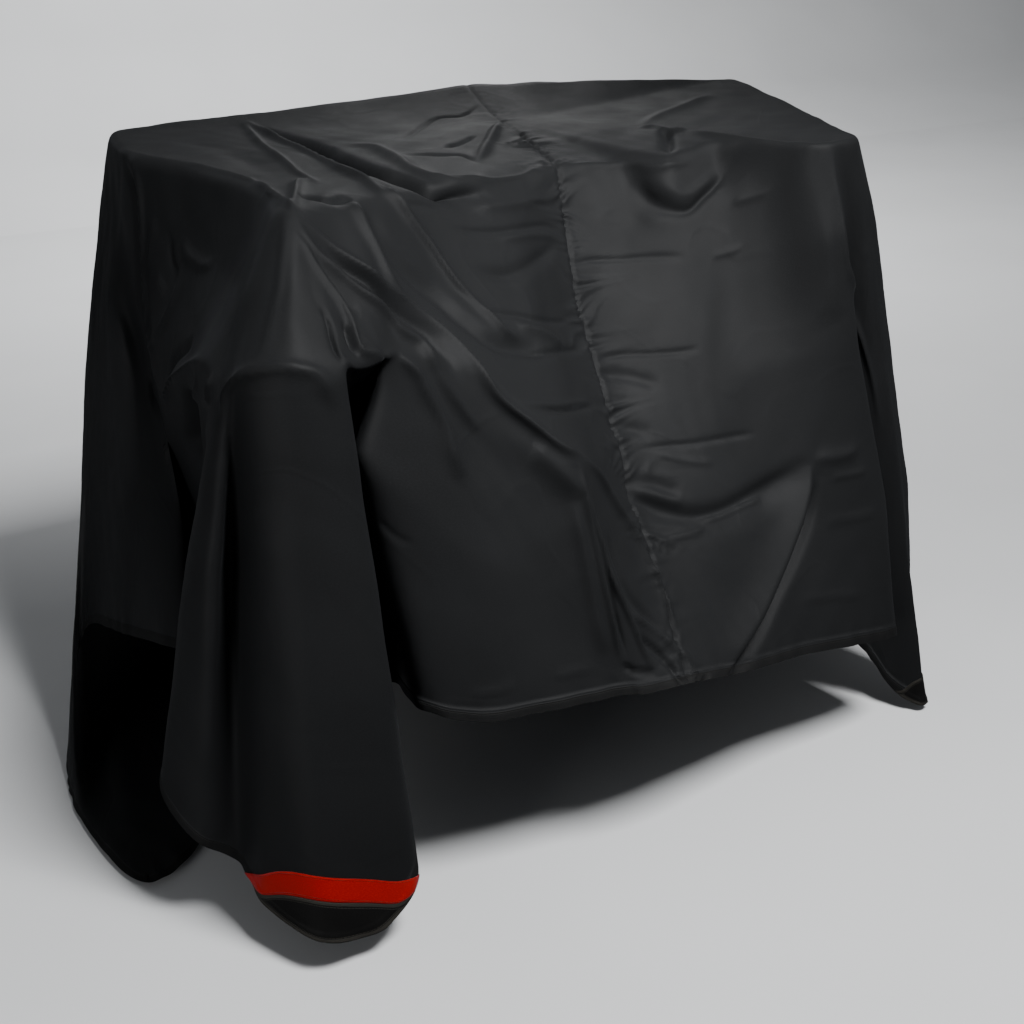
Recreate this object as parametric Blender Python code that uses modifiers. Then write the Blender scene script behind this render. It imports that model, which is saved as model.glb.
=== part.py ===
"""Loose dust cover thrown over an electronic drum set.

One cloth of two panels, sewn together along a seam that runs from front to back.
It hangs from the tops of the set, which show through it as a crown, one peak, one low
shelf under the peak and a row of folds around the skirt.
Metres. X runs along the cover, Y to its back, Z up. The origin is under the crown,
where the cover rests.
"""
import bpy
import numpy as np
from collections import namedtuple

# Flat cloth: its seam lies on u = 0, its front hem at v = -FRONT
HALF = 1.60
FRONT = 1.20
BACK = 1.80
CORNER_ROUND = 0.12

# Cloth thickness and the spaces between sewn pieces
THICK = 0.0020
PATCH_THICK = 0.0012
PATCH_LIFT = 0.0021
SEAM_SPACE = 0.0024
BAND_SPACE = 0.0008

# The crown: its resting height over the floor, the high place near its middle, and how far
# the seam leans to the right on its way to the back
REST_HEIGHT = 1.2195
MIDDLE = (0.0, 0.20, 1.235)
SEAM_START = -0.14
SEAM_END = 0.47
LEAN = 0.21

# Radius over which a bend of the cloth is rounded, measured in the flat cloth
BEND = 0.035
PROBE = 0.004

# Corner trim: distance of each edge from the sharp corner, summed along u and v
BAND_TOP = 0.240
BAND_BOTTOM = 0.178
TRIM_LEAST = 0.022

# Mesh steps
CLOSE_STEP = 0.070
CLOSE_SPANS = ((0.0, 2.45), (10.3, 11.3))
WIDE_STEP = 0.110
CROWN_STEPS = (0.0, 0.18, 0.35, 0.48, 0.56, 0.64, 0.73, 0.83, 0.92)
SKIRT_STEPS = (0.0, 0.04, 0.09, 0.15, 0.21, 0.28, 0.35, 0.42, 0.49, 0.56, 0.63, 0.70, 0.77, 0.83, 0.88)
TRIM_STEPS = (0.92, 0.96)

Fold = namedtuple("Fold", "name u v crown breast shoulder waist hem")
# One row per fold, clockwise from the front seam: where it meets the flat hem, then the
# places it hangs through, as x, y and height over the floor
FOLDS = [
    Fold("seam front", 0.00, -1.20, (0, -.14, 1.205), (-.045, -.29, .98), (-.056, -.45, .77),
         (-.066, -.60, .56), (-.073, -.743, .37)),
    Fold("front 1", -.13, -1.20, (-.08, -.17, 1.205), (-.13, -.34, .98), (-.145, -.54, .765),
         (-.155, -.66, .56), (-.165, -.738, .372)),
    Fold("knee", -.27, -1.20, (-.16, -.205, 1.208), (-.20, -.40, .98), (-.237, -.625, .80),
         (-.229, -.67, .60), (-.213, -.722, .374)),
    Fold("front 3", -.40, -1.20, (-.27, -.245, 1.215), (-.292, -.397, 1.03), (-.317, -.592, .885),
         (-.34, -.655, .62), (-.36, -.704, .375)),
    Fold("front 4", -.53, -1.20, (-.39, -.29, 1.225), (-.41, -.40, 1.088), (-.43, -.553, .985),
         (-.465, -.635, .68), (-.484, -.674, .376)),
    Fold("front fold", -.66, -1.20, (-.51, -.345, 1.235), (-.545, -.475, 1.135), (-.564, -.57, 1.032),
         (-.658, -.60, .891), (-.57, -.60, .402)),
    Fold("front fold in", -.71, -1.20, (-.535, -.362, 1.237), (-.56, -.482, 1.150), (-.585, -.58, 1.040),
         (-.640, -.54, .867), (-.542, -.51, .375)),
    Fold("pleat in", -.82, -1.20, (-.60, -.40, 1.242), (-.612, -.482, 1.168), (-.620, -.605, 1.046),
         (-.56, -.42, .84), (-.54, -.44, .36)),
    Fold("pleat deep", -.98, -1.20, (-.648, -.430, 1.248), (-.65, -.515, 1.16), (-.661, -.625, 1.048),
         (-.57, -.36, .82), (-.55, -.34, .31)),
    Fold("pleat out", -1.15, -1.20, (-.659, -.438, 1.25), (-.68, -.54, 1.155), (-.686, -.640, 1.055),
         (-.635, -.50, .75), (-.585, -.46, .22)),
    Fold("cone right", -1.36, -1.20, (-.667, -.444, 1.252), (-.70, -.55, 1.15), (-.694, -.655, 1.045),
         (-.66, -.66, .72), (-.616, -.70, .12)),
    Fold("cone front", -1.50, -1.20, (-.675, -.448, 1.252), (-.712, -.56, 1.15), (-.732, -.66, 1.048),
         (-.72, -.69, .72), (-.708, -.73, .054)),
    Fold("corner near left", -1.60, -1.20, (-.684, -.447, 1.252), (-.727, -.555, 1.15),
         (-.776, -.65, 1.065), (-.785, -.675, .72), (-.804, -.73, .068)),
    Fold("cone left", -1.60, -1.06, (-.691, -.441, 1.252), (-.745, -.54, 1.15), (-.824, -.605, 1.060),
         (-.841, -.61, .715), (-.868, -.62, .092)),
    Fold("cone valley", -1.60, -.91, (-.695, -.431, 1.252), (-.765, -.52, 1.15), (-.846, -.572, 1.036),
         (-.846, -.49, .70), (-.888, -.51, .135)),
    Fold("cone left ridge", -1.60, -.84, (-.696, -.424, 1.251), (-.772, -.50, 1.145), (-.850, -.558, 1.013),
         (-.891, -.548, .712), (-.939, -.50, .173)),
    Fold("cone left edge", -1.60, -.74, (-.696, -.412, 1.25), (-.778, -.475, 1.14), (-.858, -.53, .985),
         (-.912, -.462, .69), (-.981, -.42, .255)),
    Fold("side pleat in", -1.60, -.58, (-.664, -.31, 1.25), (-.75, -.36, 1.117), (-.839, -.425, 1.016),
         (-.785, -.30, .70), (-.82, -.32, .34)),
    Fold("side pleat deep", -1.60, -.42, (-.668, -.20, 1.25), (-.72, -.22, 1.111), (-.815, -.245, .95),
         (-.775, -.19, .756), (-.72, -.17, .34)),
    Fold("side pleat out", -1.60, -.24, (-.706, -.01, 1.25), (-.732, -.01, 1.119), (-.798, -.04, .853),
         (-.763, .04, .685), (-.694, .02, .272)),
    Fold("flap front", -1.60, -.08, (-.762, .14, 1.25), (-.761, .14, 1.14), (-.765, .14, .87),
         (-.779, -.035, .617), (-.82, -.21, .391)),
    Fold("flap middle", -1.60, .25, (-.752, .25, 1.25), (-.757, .26, 1.136), (-.79, .25, .95),
         (-.835, .10, .67), (-.90, -.02, .357)),
    Fold("flap back", -1.60, .65, (-.736, .34, 1.25), (-.754, .34, 1.13), (-.80, .33, .93),
         (-.865, .25, .64), (-.93, .20, .28)),
    Fold("side edge", -1.60, .92, (-.727, .385, 1.25), (-.755, .385, 1.12), (-.81, .35, .90),
         (-.885, .27, .58), (-.965, .20, .18)),
    Fold("tuck 1", -1.60, 1.18, (-.718, .415, 1.25), (-.755, .395, 1.12), (-.83, .36, .80),
         (-.93, .24, .36), (-1.03, .10, .016)),
    Fold("tuck 2", -1.60, 1.48, (-.713, .43, 1.25), (-.755, .41, 1.05), (-.85, .35, .55),
         (-.97, .19, .03), (-1.05, -.10, .012)),
    Fold("corner far left", -1.60, 1.80, (-.704, .442, 1.25), (-.745, .42, 1.05), (-.82, .37, .50),
         (-.89, .27, .03), (-1.0, -.34, .012)),
    Fold("back tuck", -1.30, 1.80, (-.688, .45, 1.25), (-.725, .45, 1.05), (-.78, .43, .50),
         (-.81, .37, .03), (-.84, -.22, .012)),
    Fold("back 1", -1.06, 1.80, (-.62, .46, 1.252), (-.65, .49, 1.05), (-.70, .50, .50),
         (-.71, .49, .03), (-.71, .10, .012)),
    Fold("back 2", -.84, 1.80, (-.52, .47, 1.255), (-.565, .53, 1.05), (-.60, .61, .50),
         (-.60, .64, .03), (-.57, .42, .012)),
    Fold("back 3", -.64, 1.80, (-.39, .475, 1.257), (-.42, .51, 1.05), (-.455, .545, .50),
         (-.46, .55, .12), (-.46, .56, .025)),
    Fold("back 4", -.41, 1.80, (-.22, .48, 1.262), (-.25, .545, 1.05), (-.28, .64, .50),
         (-.285, .69, .12), (-.28, .71, .022)),
    Fold("back 5", -.22, 1.80, (-.06, .478, 1.27), (-.09, .52, 1.05), (-.12, .56, .50),
         (-.13, .57, .12), (-.13, .58, .025)),
    Fold("seam back", 0.00, 1.80, (.128, .47, 1.28), (.115, .53, 1.05), (.075, .62, .50),
         (.06, .66, .12), (.06, .69, .022)),
    Fold("back 6", .25, 1.80, (.26, .45, 1.278), (.255, .49, 1.05), (.245, .535, .50),
         (.24, .55, .12), (.24, .56, .025)),
    Fold("back 7", .46, 1.80, (.39, .43, 1.275), (.39, .49, 1.05), (.39, .60, .50),
         (.39, .66, .10), (.39, .70, .022)),
    Fold("back 8", .66, 1.80, (.51, .418, 1.27), (.52, .455, 1.05), (.53, .51, .50),
         (.535, .54, .08), (.535, .58, .02)),
    Fold("back 9", .88, 1.80, (.63, .412, 1.264), (.64, .47, 1.05), (.655, .58, .50),
         (.66, .64, .05), (.66, .76, .014)),
    Fold("back 10", 1.10, 1.80, (.75, .408, 1.255), (.765, .445, 1.05), (.785, .50, .50),
         (.80, .54, .03), (.82, .76, .012)),
    Fold("back fold", 1.36, 1.80, (.815, .403, 1.25), (.835, .44, 1.05), (.88, .50, .50),
         (.93, .54, .03), (1.02, .78, .012)),
    Fold("corner far right", 1.60, 1.80, (.837, .392, 1.25), (.86, .42, 1.05), (.91, .46, .50),
         (.97, .48, .03), (1.20, .62, .012)),
    Fold("right fold", 1.60, 1.45, (.834, .367, 1.25), (.87, .38, 1.05), (.93, .37, .50),
         (1.0, .36, .045), (1.12, .42, .012)),
    Fold("right 1", 1.60, 1.12, (.815, .30, 1.25), (.835, .29, 1.08), (.86, .27, .80),
         (.89, .24, .45), (.94, .24, .14)),
    Fold("right 2", 1.60, .86, (.787, .22, 1.25), (.835, .21, 1.08), (.89, .18, .80),
         (.955, .15, .50), (1.04, .13, .24)),
    Fold("right 3", 1.60, .58, (.742, .10, 1.25), (.785, .09, 1.08), (.805, .06, .82),
         (.825, .03, .56), (.86, .03, .32)),
    Fold("right 4", 1.60, .30, (.700, -.01, 1.25), (.775, -.02, 1.08), (.825, -.03, .82),
         (.88, -.04, .58), (.96, -.05, .30)),
    Fold("right 5", 1.60, .02, (.654, -.13, 1.25), (.705, -.14, 1.08), (.725, -.15, .85),
         (.745, -.15, .60), (.78, -.16, .32)),
    Fold("right 6", 1.60, -.26, (.612, -.24, 1.25), (.68, -.25, 1.08), (.73, -.26, .85),
         (.79, -.27, .58), (.87, -.28, .26)),
    Fold("right 7", 1.60, -.52, (.585, -.31, 1.25), (.62, -.32, 1.08), (.645, -.34, .85),
         (.665, -.36, .55), (.69, -.38, .22)),
    Fold("right 8", 1.60, -.78, (.575, -.35, 1.25), (.612, -.387, 1.08), (.654, -.408, .85),
         (.721, -.438, .50), (.768, -.455, .11)),
    Fold("corner edge", 1.60, -1.02, (.556, -.375, 1.25), (.58, -.405, 1.08), (.61, -.44, .85),
         (.675, -.485, .50), (.735, -.51, .05)),
    Fold("corner near right", 1.60, -1.20, (.543, -.387, 1.25), (.567, -.41, 1.08), (.597, -.44, .85),
         (.65, -.50, .48), (.71, -.585, .016)),
    Fold("corner front", 1.40, -1.20, (.53, -.393, 1.25), (.552, -.415, 1.08), (.575, -.44, .85),
         (.60, -.475, .48), (.65, -.545, .045)),
    Fold("right pleat out", 1.20, -1.20, (.515, -.396, 1.248), (.535, -.41, 1.08), (.555, -.425, .85),
         (.57, -.445, .50), (.60, -.48, .14)),
    Fold("right pleat deep", 1.00, -1.20, (.49, -.396, 1.245), (.512, -.405, 1.08), (.53, -.405, .85),
         (.54, -.405, .52), (.54, -.41, .20)),
    Fold("front edge right", .78, -1.20, (.46, -.394, 1.24), (.477, -.447, 1.08), (.503, -.488, .85),
         (.563, -.543, .54), (.577, -.60, .235)),
    Fold("front right 2", .56, -1.20, (.41, -.35, 1.242), (.41, -.425, 1.06), (.41, -.487, .85),
         (.41, -.56, .54), (.42, -.645, .27)),
    Fold("front right 3", .36, -1.20, (.325, -.215, 1.238), (.285, -.33, 1.03), (.26, -.44, .83),
         (.255, -.55, .58), (.25, -.665, .30)),
    Fold("swag", .27, -1.20, (.195, -.225, 1.216), (.185, -.33, 1.02), (.18, -.44, .815),
         (.175, -.565, .575), (.17, -.685, .315)),
    Fold("front right 4", .18, -1.20, (.14, -.15, 1.205), (.11, -.30, 1.0), (.10, -.44, .80),
         (.095, -.58, .57), (.09, -.705, .33)),
]

Crease = namedtuple("Crease", "name height width path")
# One row per crease: how far it stands out (or in, below zero), its half width, and the places
# in the flat cloth that it runs through
CREASES = [
    Crease("taut ridge", .014, .040, ((-.675, -.45), (-.56, -.50), (-.455, -.56), (-.395, -.67),
                                      (-.225, -.765))),
    Crease("hollow behind taut ridge", -.015, .045, ((-.515, -.37), (-.455, -.45), (-.385, -.52),
                                                     (-.195, -.545))),
    Crease("top ridge", .018, .045, ((-.535, .39), (-.465, -.075), (-.445, -.20), (-.43, -.335),
                                     (-.365, -.445), (-.26, -.53))),
    Crease("dark hollow", -.034, .055, ((-.50, .31), (-.42, .02), (-.385, -.16), (-.34, -.26),
                                        (-.225, -.24), (-.065, -.175))),
    Crease("pocket ridge", .013, .045, ((-.685, -.48), (-.62, -.525), (-.53, -.58), (-.50, -.68),
                                        (-.485, -.80))),
    Crease("swag", -.016, .045, ((.15, -.20), (.19, -.30), (.245, -.335), (.305, -.295))),
    Crease("plate hollow", -.012, .045, ((.28, -.085), (.26, -.14), (.22, -.20))),
    Crease("right edge", .010, .045, ((.42, -.36), (.45, -.46), (.50, -.655))),
    Crease("knee ridge", .014, .045, ((-.24, -.80), (-.24, -.985), (-.24, -1.13))),
    Crease("seam ridge", .012, .040, ((-.20, -.78), (-.055, -.895), (.005, -1.04))),
    Crease("great sag", -.018, .045, ((-.005, -.805), (.07, -.87), (.19, -.89), (.445, -.87))),
    Crease("right lower ridge", .018, .040, ((.455, -.87), (.435, -.925), (.365, -1.005), (.245, -1.10),
                                             (.12, -1.19))),
    Crease("right lower hollow", -.016, .040, ((.50, -.93), (.41, -1.03), (.27, -1.15))),
    Crease("flap valley", -.012, .045, ((-.84, .18), (-.94, .095), (-1.10, .07), (-1.25, .05),
                                        (-1.40, -.05))),
]

LENGTH = FRONT + BACK
AROUND = 4 * HALF + 2 * LENGTH
BACK_SEAM = 2 * HALF + LENGTH


def place_on_hem(s):
    """Flat place of the hem at the distance s around the cloth, with its corners rounded."""
    s = np.asarray(s, float) % AROUND
    turns = (0, HALF, HALF + LENGTH, 3 * HALF + LENGTH, 3 * HALF + 2 * LENGTH, AROUND)
    u = np.interp(s, turns, (0, -HALF, -HALF, HALF, HALF, 0))
    v = np.interp(s, turns, (-FRONT, -FRONT, BACK, BACK, -FRONT, -FRONT))
    reach = np.hypot(u, v)
    across, along = np.abs(u) / reach, np.abs(v) / reach
    centre_u = HALF - CORNER_ROUND
    centre_v = np.where(v > 0, BACK, FRONT) - CORNER_ROUND
    middle = centre_u * across + centre_v * along
    rest = middle ** 2 - centre_u ** 2 - centre_v ** 2 + CORNER_ROUND ** 2
    at_corner = (np.abs(u) > centre_u) & (np.abs(v) > centre_v)
    drawn = np.where(at_corner, (middle + np.sqrt(np.maximum(rest, 0))) / reach, 1.0)
    return u * drawn, v * drawn


def distance_around(fold):
    """Distance around the hem, clockwise from the front seam, at which a fold meets it."""
    if fold.v == -FRONT and fold.u <= 0:
        return -fold.u
    if fold.u == -HALF:
        return HALF + fold.v + FRONT
    if fold.v == BACK:
        return HALF + LENGTH + fold.u + HALF
    if fold.u == HALF:
        return 3 * HALF + LENGTH + BACK - fold.v
    return AROUND - fold.u


AT = np.array([distance_around(fold) for fold in FOLDS])
HANGS = np.array([(f.crown, f.breast, f.shoulder, f.waist, f.hem) for f in FOLDS], float)
RUNS = np.linalg.norm(np.diff(HANGS, axis=1), axis=2)
SHARES = np.concatenate([np.zeros((len(FOLDS), 1)), np.cumsum(RUNS, axis=1)], axis=1)
SHARES = SHARES / SHARES[:, -1:]


def crown(s):
    """Place of the crown's edge at s, as x, y and height, and its place in the flat cloth."""
    s = np.asarray(s, float) % AROUND
    at = np.append(AT, AROUND)
    edge = np.concatenate([HANGS[:, 0], HANGS[:1, 0]])
    edge = np.stack([np.interp(s, at, edge[:, i]) for i in range(3)], axis=-1)
    return edge, edge[:, 0] - LEAN * np.maximum(edge[:, 1] - SEAM_START, 0), edge[:, 1]


def between_folds(s, values):
    """Values of the fold table at s, on smooth curves from one fold to the next."""
    at = np.concatenate([AT[-2:] - AROUND, AT, AT[:3] + AROUND])
    rows = np.concatenate([values[-2:], values, values[:3]])
    gaps = np.diff(at)
    wide = gaps.reshape((-1,) + (1,) * (rows.ndim - 1))
    slopes = np.diff(rows, axis=0) / wide
    lean = np.zeros_like(rows)
    lean[1:-1] = (slopes[:-1] * wide[1:] + slopes[1:] * wide[:-1]) / (wide[1:] + wide[:-1])
    i = np.clip(np.searchsorted(at, s, side="right") - 1, 1, len(at) - 3)
    x = ((s - at[i]) / gaps[i]).reshape(s.shape + (1,) * (rows.ndim - 1))
    gap = gaps[i].reshape(x.shape)
    near = (1 + 2 * x) * (1 - x) ** 2 * rows[i] + x * (1 - x) ** 2 * gap * lean[i]
    far = x * x * (3 - 2 * x) * rows[i + 1] + x * x * (x - 1) * gap * lean[i + 1]
    return near + far


def down_the_fold(t, shares, places):
    """Place at the share t of the way from crown to hem, on the straight runs of a fold."""
    out = np.zeros(t.shape + (3,))
    last = shares.shape[1] - 2
    for j in range(last + 1):
        low, high = shares[:, j], shares[:, j + 1]
        here = (t >= low if j else t > -np.inf) & (t < high if j < last else t < np.inf)
        x = ((t - low) / np.maximum(high - low, 1e-6))[:, None]
        out = np.where(here[:, None], places[:, j] + x * (places[:, j + 1] - places[:, j]), out)
    return out


def turning(x, y):
    """Angle of a flat place seen from the middle of the crown, clockwise from the front."""
    return -np.arctan2(x - MIDDLE[0], MIDDLE[1] - y)


def skirt_lines(u, v):
    """Distance around and share down of each flat place outside the crown.

    Every fold is a straight line of the flat cloth from the crown's edge to the hem. The
    line that holds a place is closed in on by halving.
    """
    fine = np.linspace(0, AROUND, 1600, endpoint=False)
    angle = turning(u, v)
    found = []
    for x, y in (crown(fine)[1:], place_on_hem(fine)):
        around = np.maximum.accumulate(np.unwrap(turning(x, y)))
        wanted = around[0] + (angle - around[0]) % (2 * np.pi)
        found.append(np.interp(wanted, np.append(around, around[0] + 2 * np.pi), np.append(fine, AROUND)))
    turn = (found[1] - found[0] + AROUND / 2) % AROUND - AROUND / 2
    low = found[0] + np.minimum(turn, 0) - .02
    high = found[0] + np.maximum(turn, 0) + .02
    for _ in range(26):
        s = (low + high) / 2
        _, x, y = crown(s)
        hem_x, hem_y = place_on_hem(s)
        side = (hem_x - x) * (v - y) - (hem_y - y) * (u - x)
        low, high = np.where(side < 0, s, low), np.where(side < 0, high, s)
    s = ((low + high) / 2) % AROUND
    _, x, y = crown(s)
    hem_x, hem_y = place_on_hem(s)
    reach = (hem_x - x) ** 2 + (hem_y - y) ** 2
    t = ((u - x) * (hem_x - x) + (v - y) * (hem_y - y)) / reach
    return found[0], s, t


def hang(u, v):
    """Hung place of each flat place before its bends are rounded."""
    ahead, s, t = skirt_lines(u, v)
    edge, x, y = crown(ahead)
    reach = np.hypot(x - MIDDLE[0], y - MIDDLE[1])
    share = np.hypot(u - MIDDLE[0], v - MIDDLE[1]) / np.maximum(reach, 1e-6)
    height = MIDDLE[2] + (edge[:, 2] - MIDDLE[2]) * share ** 1.5
    top = np.stack([u + LEAN * np.maximum(v - SEAM_START, 0), v, height], axis=-1)
    places = between_folds(s, HANGS)
    places[:, 0] = crown(s)[0]
    shares = between_folds(s, SHARES)
    shares[:, 0], shares[:, -1] = 0, 1
    skirt = down_the_fold(np.maximum(t, 0), shares, places)
    return np.where((share < 1)[:, None], top, skirt)


def drape(u, v):
    """Hung place with its bends rounded: the mean over two rings of places around it."""
    total = .2 * hang(u, v)
    for count, reach, weight in ((4, .55, .28), (8, 1.0, .52)):
        for k in range(count):
            turn = 2 * np.pi * k / count + (.4 if count == 4 else 0)
            total += weight / count * hang(u + reach * BEND * np.cos(turn), v + reach * BEND * np.sin(turn))
    return total


def relief(u, v):
    """How far the creases lift each flat place off the folds: a soft wave beside each path."""
    total = np.zeros_like(u)
    for crease in CREASES:
        path = np.array(crease.path)
        steps = np.linalg.norm(np.diff(path, axis=0), axis=1)
        ends = np.concatenate([[0], np.cumsum(steps)])
        nearest = np.full(u.shape, np.inf)
        along = np.zeros_like(u)
        for a, b, start, length in zip(path[:-1], path[1:], ends, steps):
            x = np.clip(((u - a[0]) * (b[0] - a[0]) + (v - a[1]) * (b[1] - a[1])) / length ** 2, 0, 1)
            away = np.hypot(u - a[0] - x * (b[0] - a[0]), v - a[1] - x * (b[1] - a[1]))
            along = np.where(away < nearest, start + x * length, along)
            nearest = np.minimum(away, nearest)
        fade = np.clip(np.minimum(along, ends[-1] - along) / (.3 * ends[-1]), 0, 1)
        total += crease.height * (.25 + .75 * np.sin(fade * np.pi / 2)) * np.exp(-(nearest / crease.width) ** 2)
    return total


def cloth(u, v):
    """Finished place of each flat place, with Z measured from the mount under the crown."""
    u, v = np.asarray(u, float).ravel(), np.asarray(v, float).ravel()
    place = drape(u, v)
    across = drape(u + PROBE, v) - drape(u - PROBE, v)
    along = drape(u, v + PROBE) - drape(u, v - PROBE)
    out = np.cross(across, along)
    out /= np.maximum(np.linalg.norm(out, axis=1, keepdims=True), 1e-12)
    place += relief(u, v)[:, None] * out
    place[:, 2] = np.maximum(place[:, 2], .004) - REST_HEIGHT
    return place


def columns(start, end):
    """Distances around at which a panel has its columns: every fold and even steps between."""
    at = np.append(AT, AROUND)
    inside = at[(at > start - 1e-9) & (at < end + 1e-9)]
    parts = []
    for a, b in zip(inside[:-1], inside[1:]):
        close = any(low < (a + b) / 2 < high for low, high in CLOSE_SPANS)
        count = max(1, int(round((b - a) / (CLOSE_STEP if close else WIDE_STEP))))
        parts.append(np.linspace(a, b, count, endpoint=False))
    return np.append(np.concatenate(parts), end)


def trim_line(s, from_corner):
    """Share down each column at which it crosses the trim edge of a near corner."""
    _, x, y = crown(s)
    hem_x, hem_y = place_on_hem(s)
    near_crown = HALF - np.abs(x) + y + FRONT
    near_hem = HALF - np.abs(hem_x) + hem_y + FRONT
    return (from_corner - near_crown) / (near_hem - near_crown)


def flat_grid(start, end, side):
    """Flat places of a panel: the crown's comb of rows, then the skirt's rows to the hem."""
    s = columns(start, end)
    _, x, y = crown(s)
    hem_x, hem_y = place_on_hem(s)
    angle = turning(x, y)
    comb_y = (SEAM_START + SEAM_END) / 2 - (SEAM_END - SEAM_START) / 2 * np.cos(angle)
    rows = [(x * g, comb_y + (y - comb_y) * g) for g in CROWN_STEPS]
    rows += [(x + (hem_x - x) * t, y + (hem_y - y) * t) for t in SKIRT_STEPS]
    for step, edge in zip(TRIM_STEPS, (BAND_TOP, BAND_BOTTOM)):
        crossing = trim_line(s, edge)
        least = 1 - TRIM_LEAST * (1.9 if step == TRIM_STEPS[0] else .9)
        t = np.where((crossing < 1) & (crossing > .7), np.minimum(crossing, least), step)
        rows.append((x + (hem_x - x) * t, y + (hem_y - y) * t))
    rows.append((hem_x, hem_y))
    u = np.stack([row[0] for row in rows])
    v = np.stack([row[1] for row in rows])
    u[:, (0, -1)] = 0
    away = SEAM_SPACE / 2
    return s, np.minimum(u, -away) if side < 0 else np.maximum(u, away), v


def triangles(numbers, keep, places):
    """Triangles of a grid of vertex numbers, cut along each cell's shorter diagonal.

    A side that has shrunk to a point leaves one triangle out.
    """
    faces = []
    for i in range(numbers.shape[0] - 1):
        for j in range(numbers.shape[1] - 1):
            if not keep[i, j]:
                continue
            a, b, c, d = numbers[i, j], numbers[i, j + 1], numbers[i + 1, j + 1], numbers[i + 1, j]
            along = np.linalg.norm(places[a] - places[c]) < np.linalg.norm(places[b] - places[d])
            for face in ((a, b, c), (a, c, d)) if along else ((a, b, d), (b, c, d)):
                if len(set(face)) == 3:
                    faces.append(tuple(int(k) for k in face))
    return faces


def make_material(name, color, rough):
    material = bpy.data.materials.new(name)
    material.use_nodes = True
    shader = material.node_tree.nodes["Principled BSDF"]
    shader.inputs["Base Color"].default_value = (*color, 1.0)
    shader.inputs["Roughness"].default_value = rough
    return material


def make_sheet(name, places, faces, thick, color, rough):
    """One sewn piece: an open surface of the given places, thickened to both sides.

    Returns the direction in which the surface faces at each place.
    """
    used = sorted({k for face in faces for k in face})
    new = {old: k for k, old in enumerate(used)}
    mesh = bpy.data.meshes.new(name)
    mesh.from_pydata([tuple(places[k]) for k in used], [], [tuple(new[k] for k in face) for face in faces])
    mesh.update()
    mesh.shade_smooth()
    mesh.materials.append(make_material(name + "_finish", color, rough))
    sheet = bpy.data.objects.new(name, mesh)
    body = sheet.modifiers.new("thickness", "SOLIDIFY")
    body.thickness = thick
    body.offset = 0.0
    HOLDER.objects.link(sheet)
    facing = np.zeros(places.shape)
    facing[used] = [vertex.normal for vertex in mesh.vertices]
    return facing


def make_panel(name, start, end, side):
    """A panel with the crown's fan closed at both seam ends; returns its grid for the trims."""
    s, u, v = flat_grid(start, end, side)
    places = cloth(u, v)
    numbers = np.arange(u.size).reshape(u.shape)
    fan = len(CROWN_STEPS)
    numbers[:fan, 0] = numbers[fan, 0]
    numbers[:fan, -1] = numbers[fan, -1]
    faces = triangles(numbers, np.ones((u.shape[0] - 1, u.shape[1] - 1), bool), places)
    facing = make_sheet(name, places, faces, THICK, (.012, .012, .013), .55)
    return s, numbers, places, facing


def make_trim(name, panel, top_row, bottom_row, shrink_top, shrink_bottom, color):
    """A trim piece that lies on a panel between two of its rows around a near corner."""
    s, numbers, places, facing = panel
    crossing = trim_line(s, BAND_TOP)
    held = (crossing < 1) & (crossing > .7)
    lifted = places + PATCH_LIFT * facing
    grid = lifted[numbers]
    top, bottom = grid[top_row].copy(), grid[bottom_row].copy()
    down = grid[top_row + 1] - top
    up = grid[bottom_row - 1] - bottom
    top += down / np.linalg.norm(down, axis=1, keepdims=True) * shrink_top
    bottom += up / np.linalg.norm(up, axis=1, keepdims=True) * shrink_bottom
    lifted = lifted.copy()
    lifted[numbers[top_row]] = top
    lifted[numbers[bottom_row]] = bottom
    keep = np.zeros((numbers.shape[0] - 1, numbers.shape[1] - 1), bool)
    keep[top_row:bottom_row] = held[:-1] & held[1:]
    make_sheet(name, lifted, triangles(numbers, keep, places), PATCH_THICK, color, .5)


for old in list(bpy.data.objects):
    bpy.data.objects.remove(old, do_unlink=True)
HOLDER = bpy.data.collections.new("drum_cover")
bpy.context.scene.collection.children.link(HOLDER)

left = make_panel("panel_left", 0.0, BACK_SEAM, -1)
right = make_panel("panel_right", BACK_SEAM, AROUND, 1)
TOP_ROW = len(CROWN_STEPS) + len(SKIRT_STEPS)
BOTTOM_ROW = TOP_ROW + 1
HEM_ROW = TOP_ROW + 2
make_trim("red_band", left, TOP_ROW, BOTTOM_ROW, 0.0, BAND_SPACE / 2, (.62, .03, .012))
make_trim("corner_patch_left", left, BOTTOM_ROW, HEM_ROW, BAND_SPACE / 2, 0.0, (.018, .018, .019))
make_trim("corner_patch_right", right, TOP_ROW, HEM_ROW, 0.0, 0.0, (.018, .018, .019))
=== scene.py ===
"""Finished look of an electronic drum cover: one loose black cloth, thrown over and hanging.

The cover is one cloth of two black panels, sewn together along a seam from front to back. It
lies on a crown, stands up in one peak at its near left, and hangs in folds to hems that end
above, at and on the floor. A red band and a patch are sewn across the near left corner, and a
patch across the near right one.

Every shape is worked out in the flat cloth: u runs across it from the seam, v from its front hem
to its back hem. A table of folds says where the cloth hangs, a table of creases says what stands
out of those folds, and the sewn details follow the distance to the hem and to the seam.
Metres. X runs along the cover, Y to its back, Z up, and the origin is under the crown.
"""
from __future__ import annotations

import logging
import math
from dataclasses import dataclass, field
from enum import Enum
from typing import NamedTuple

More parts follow.
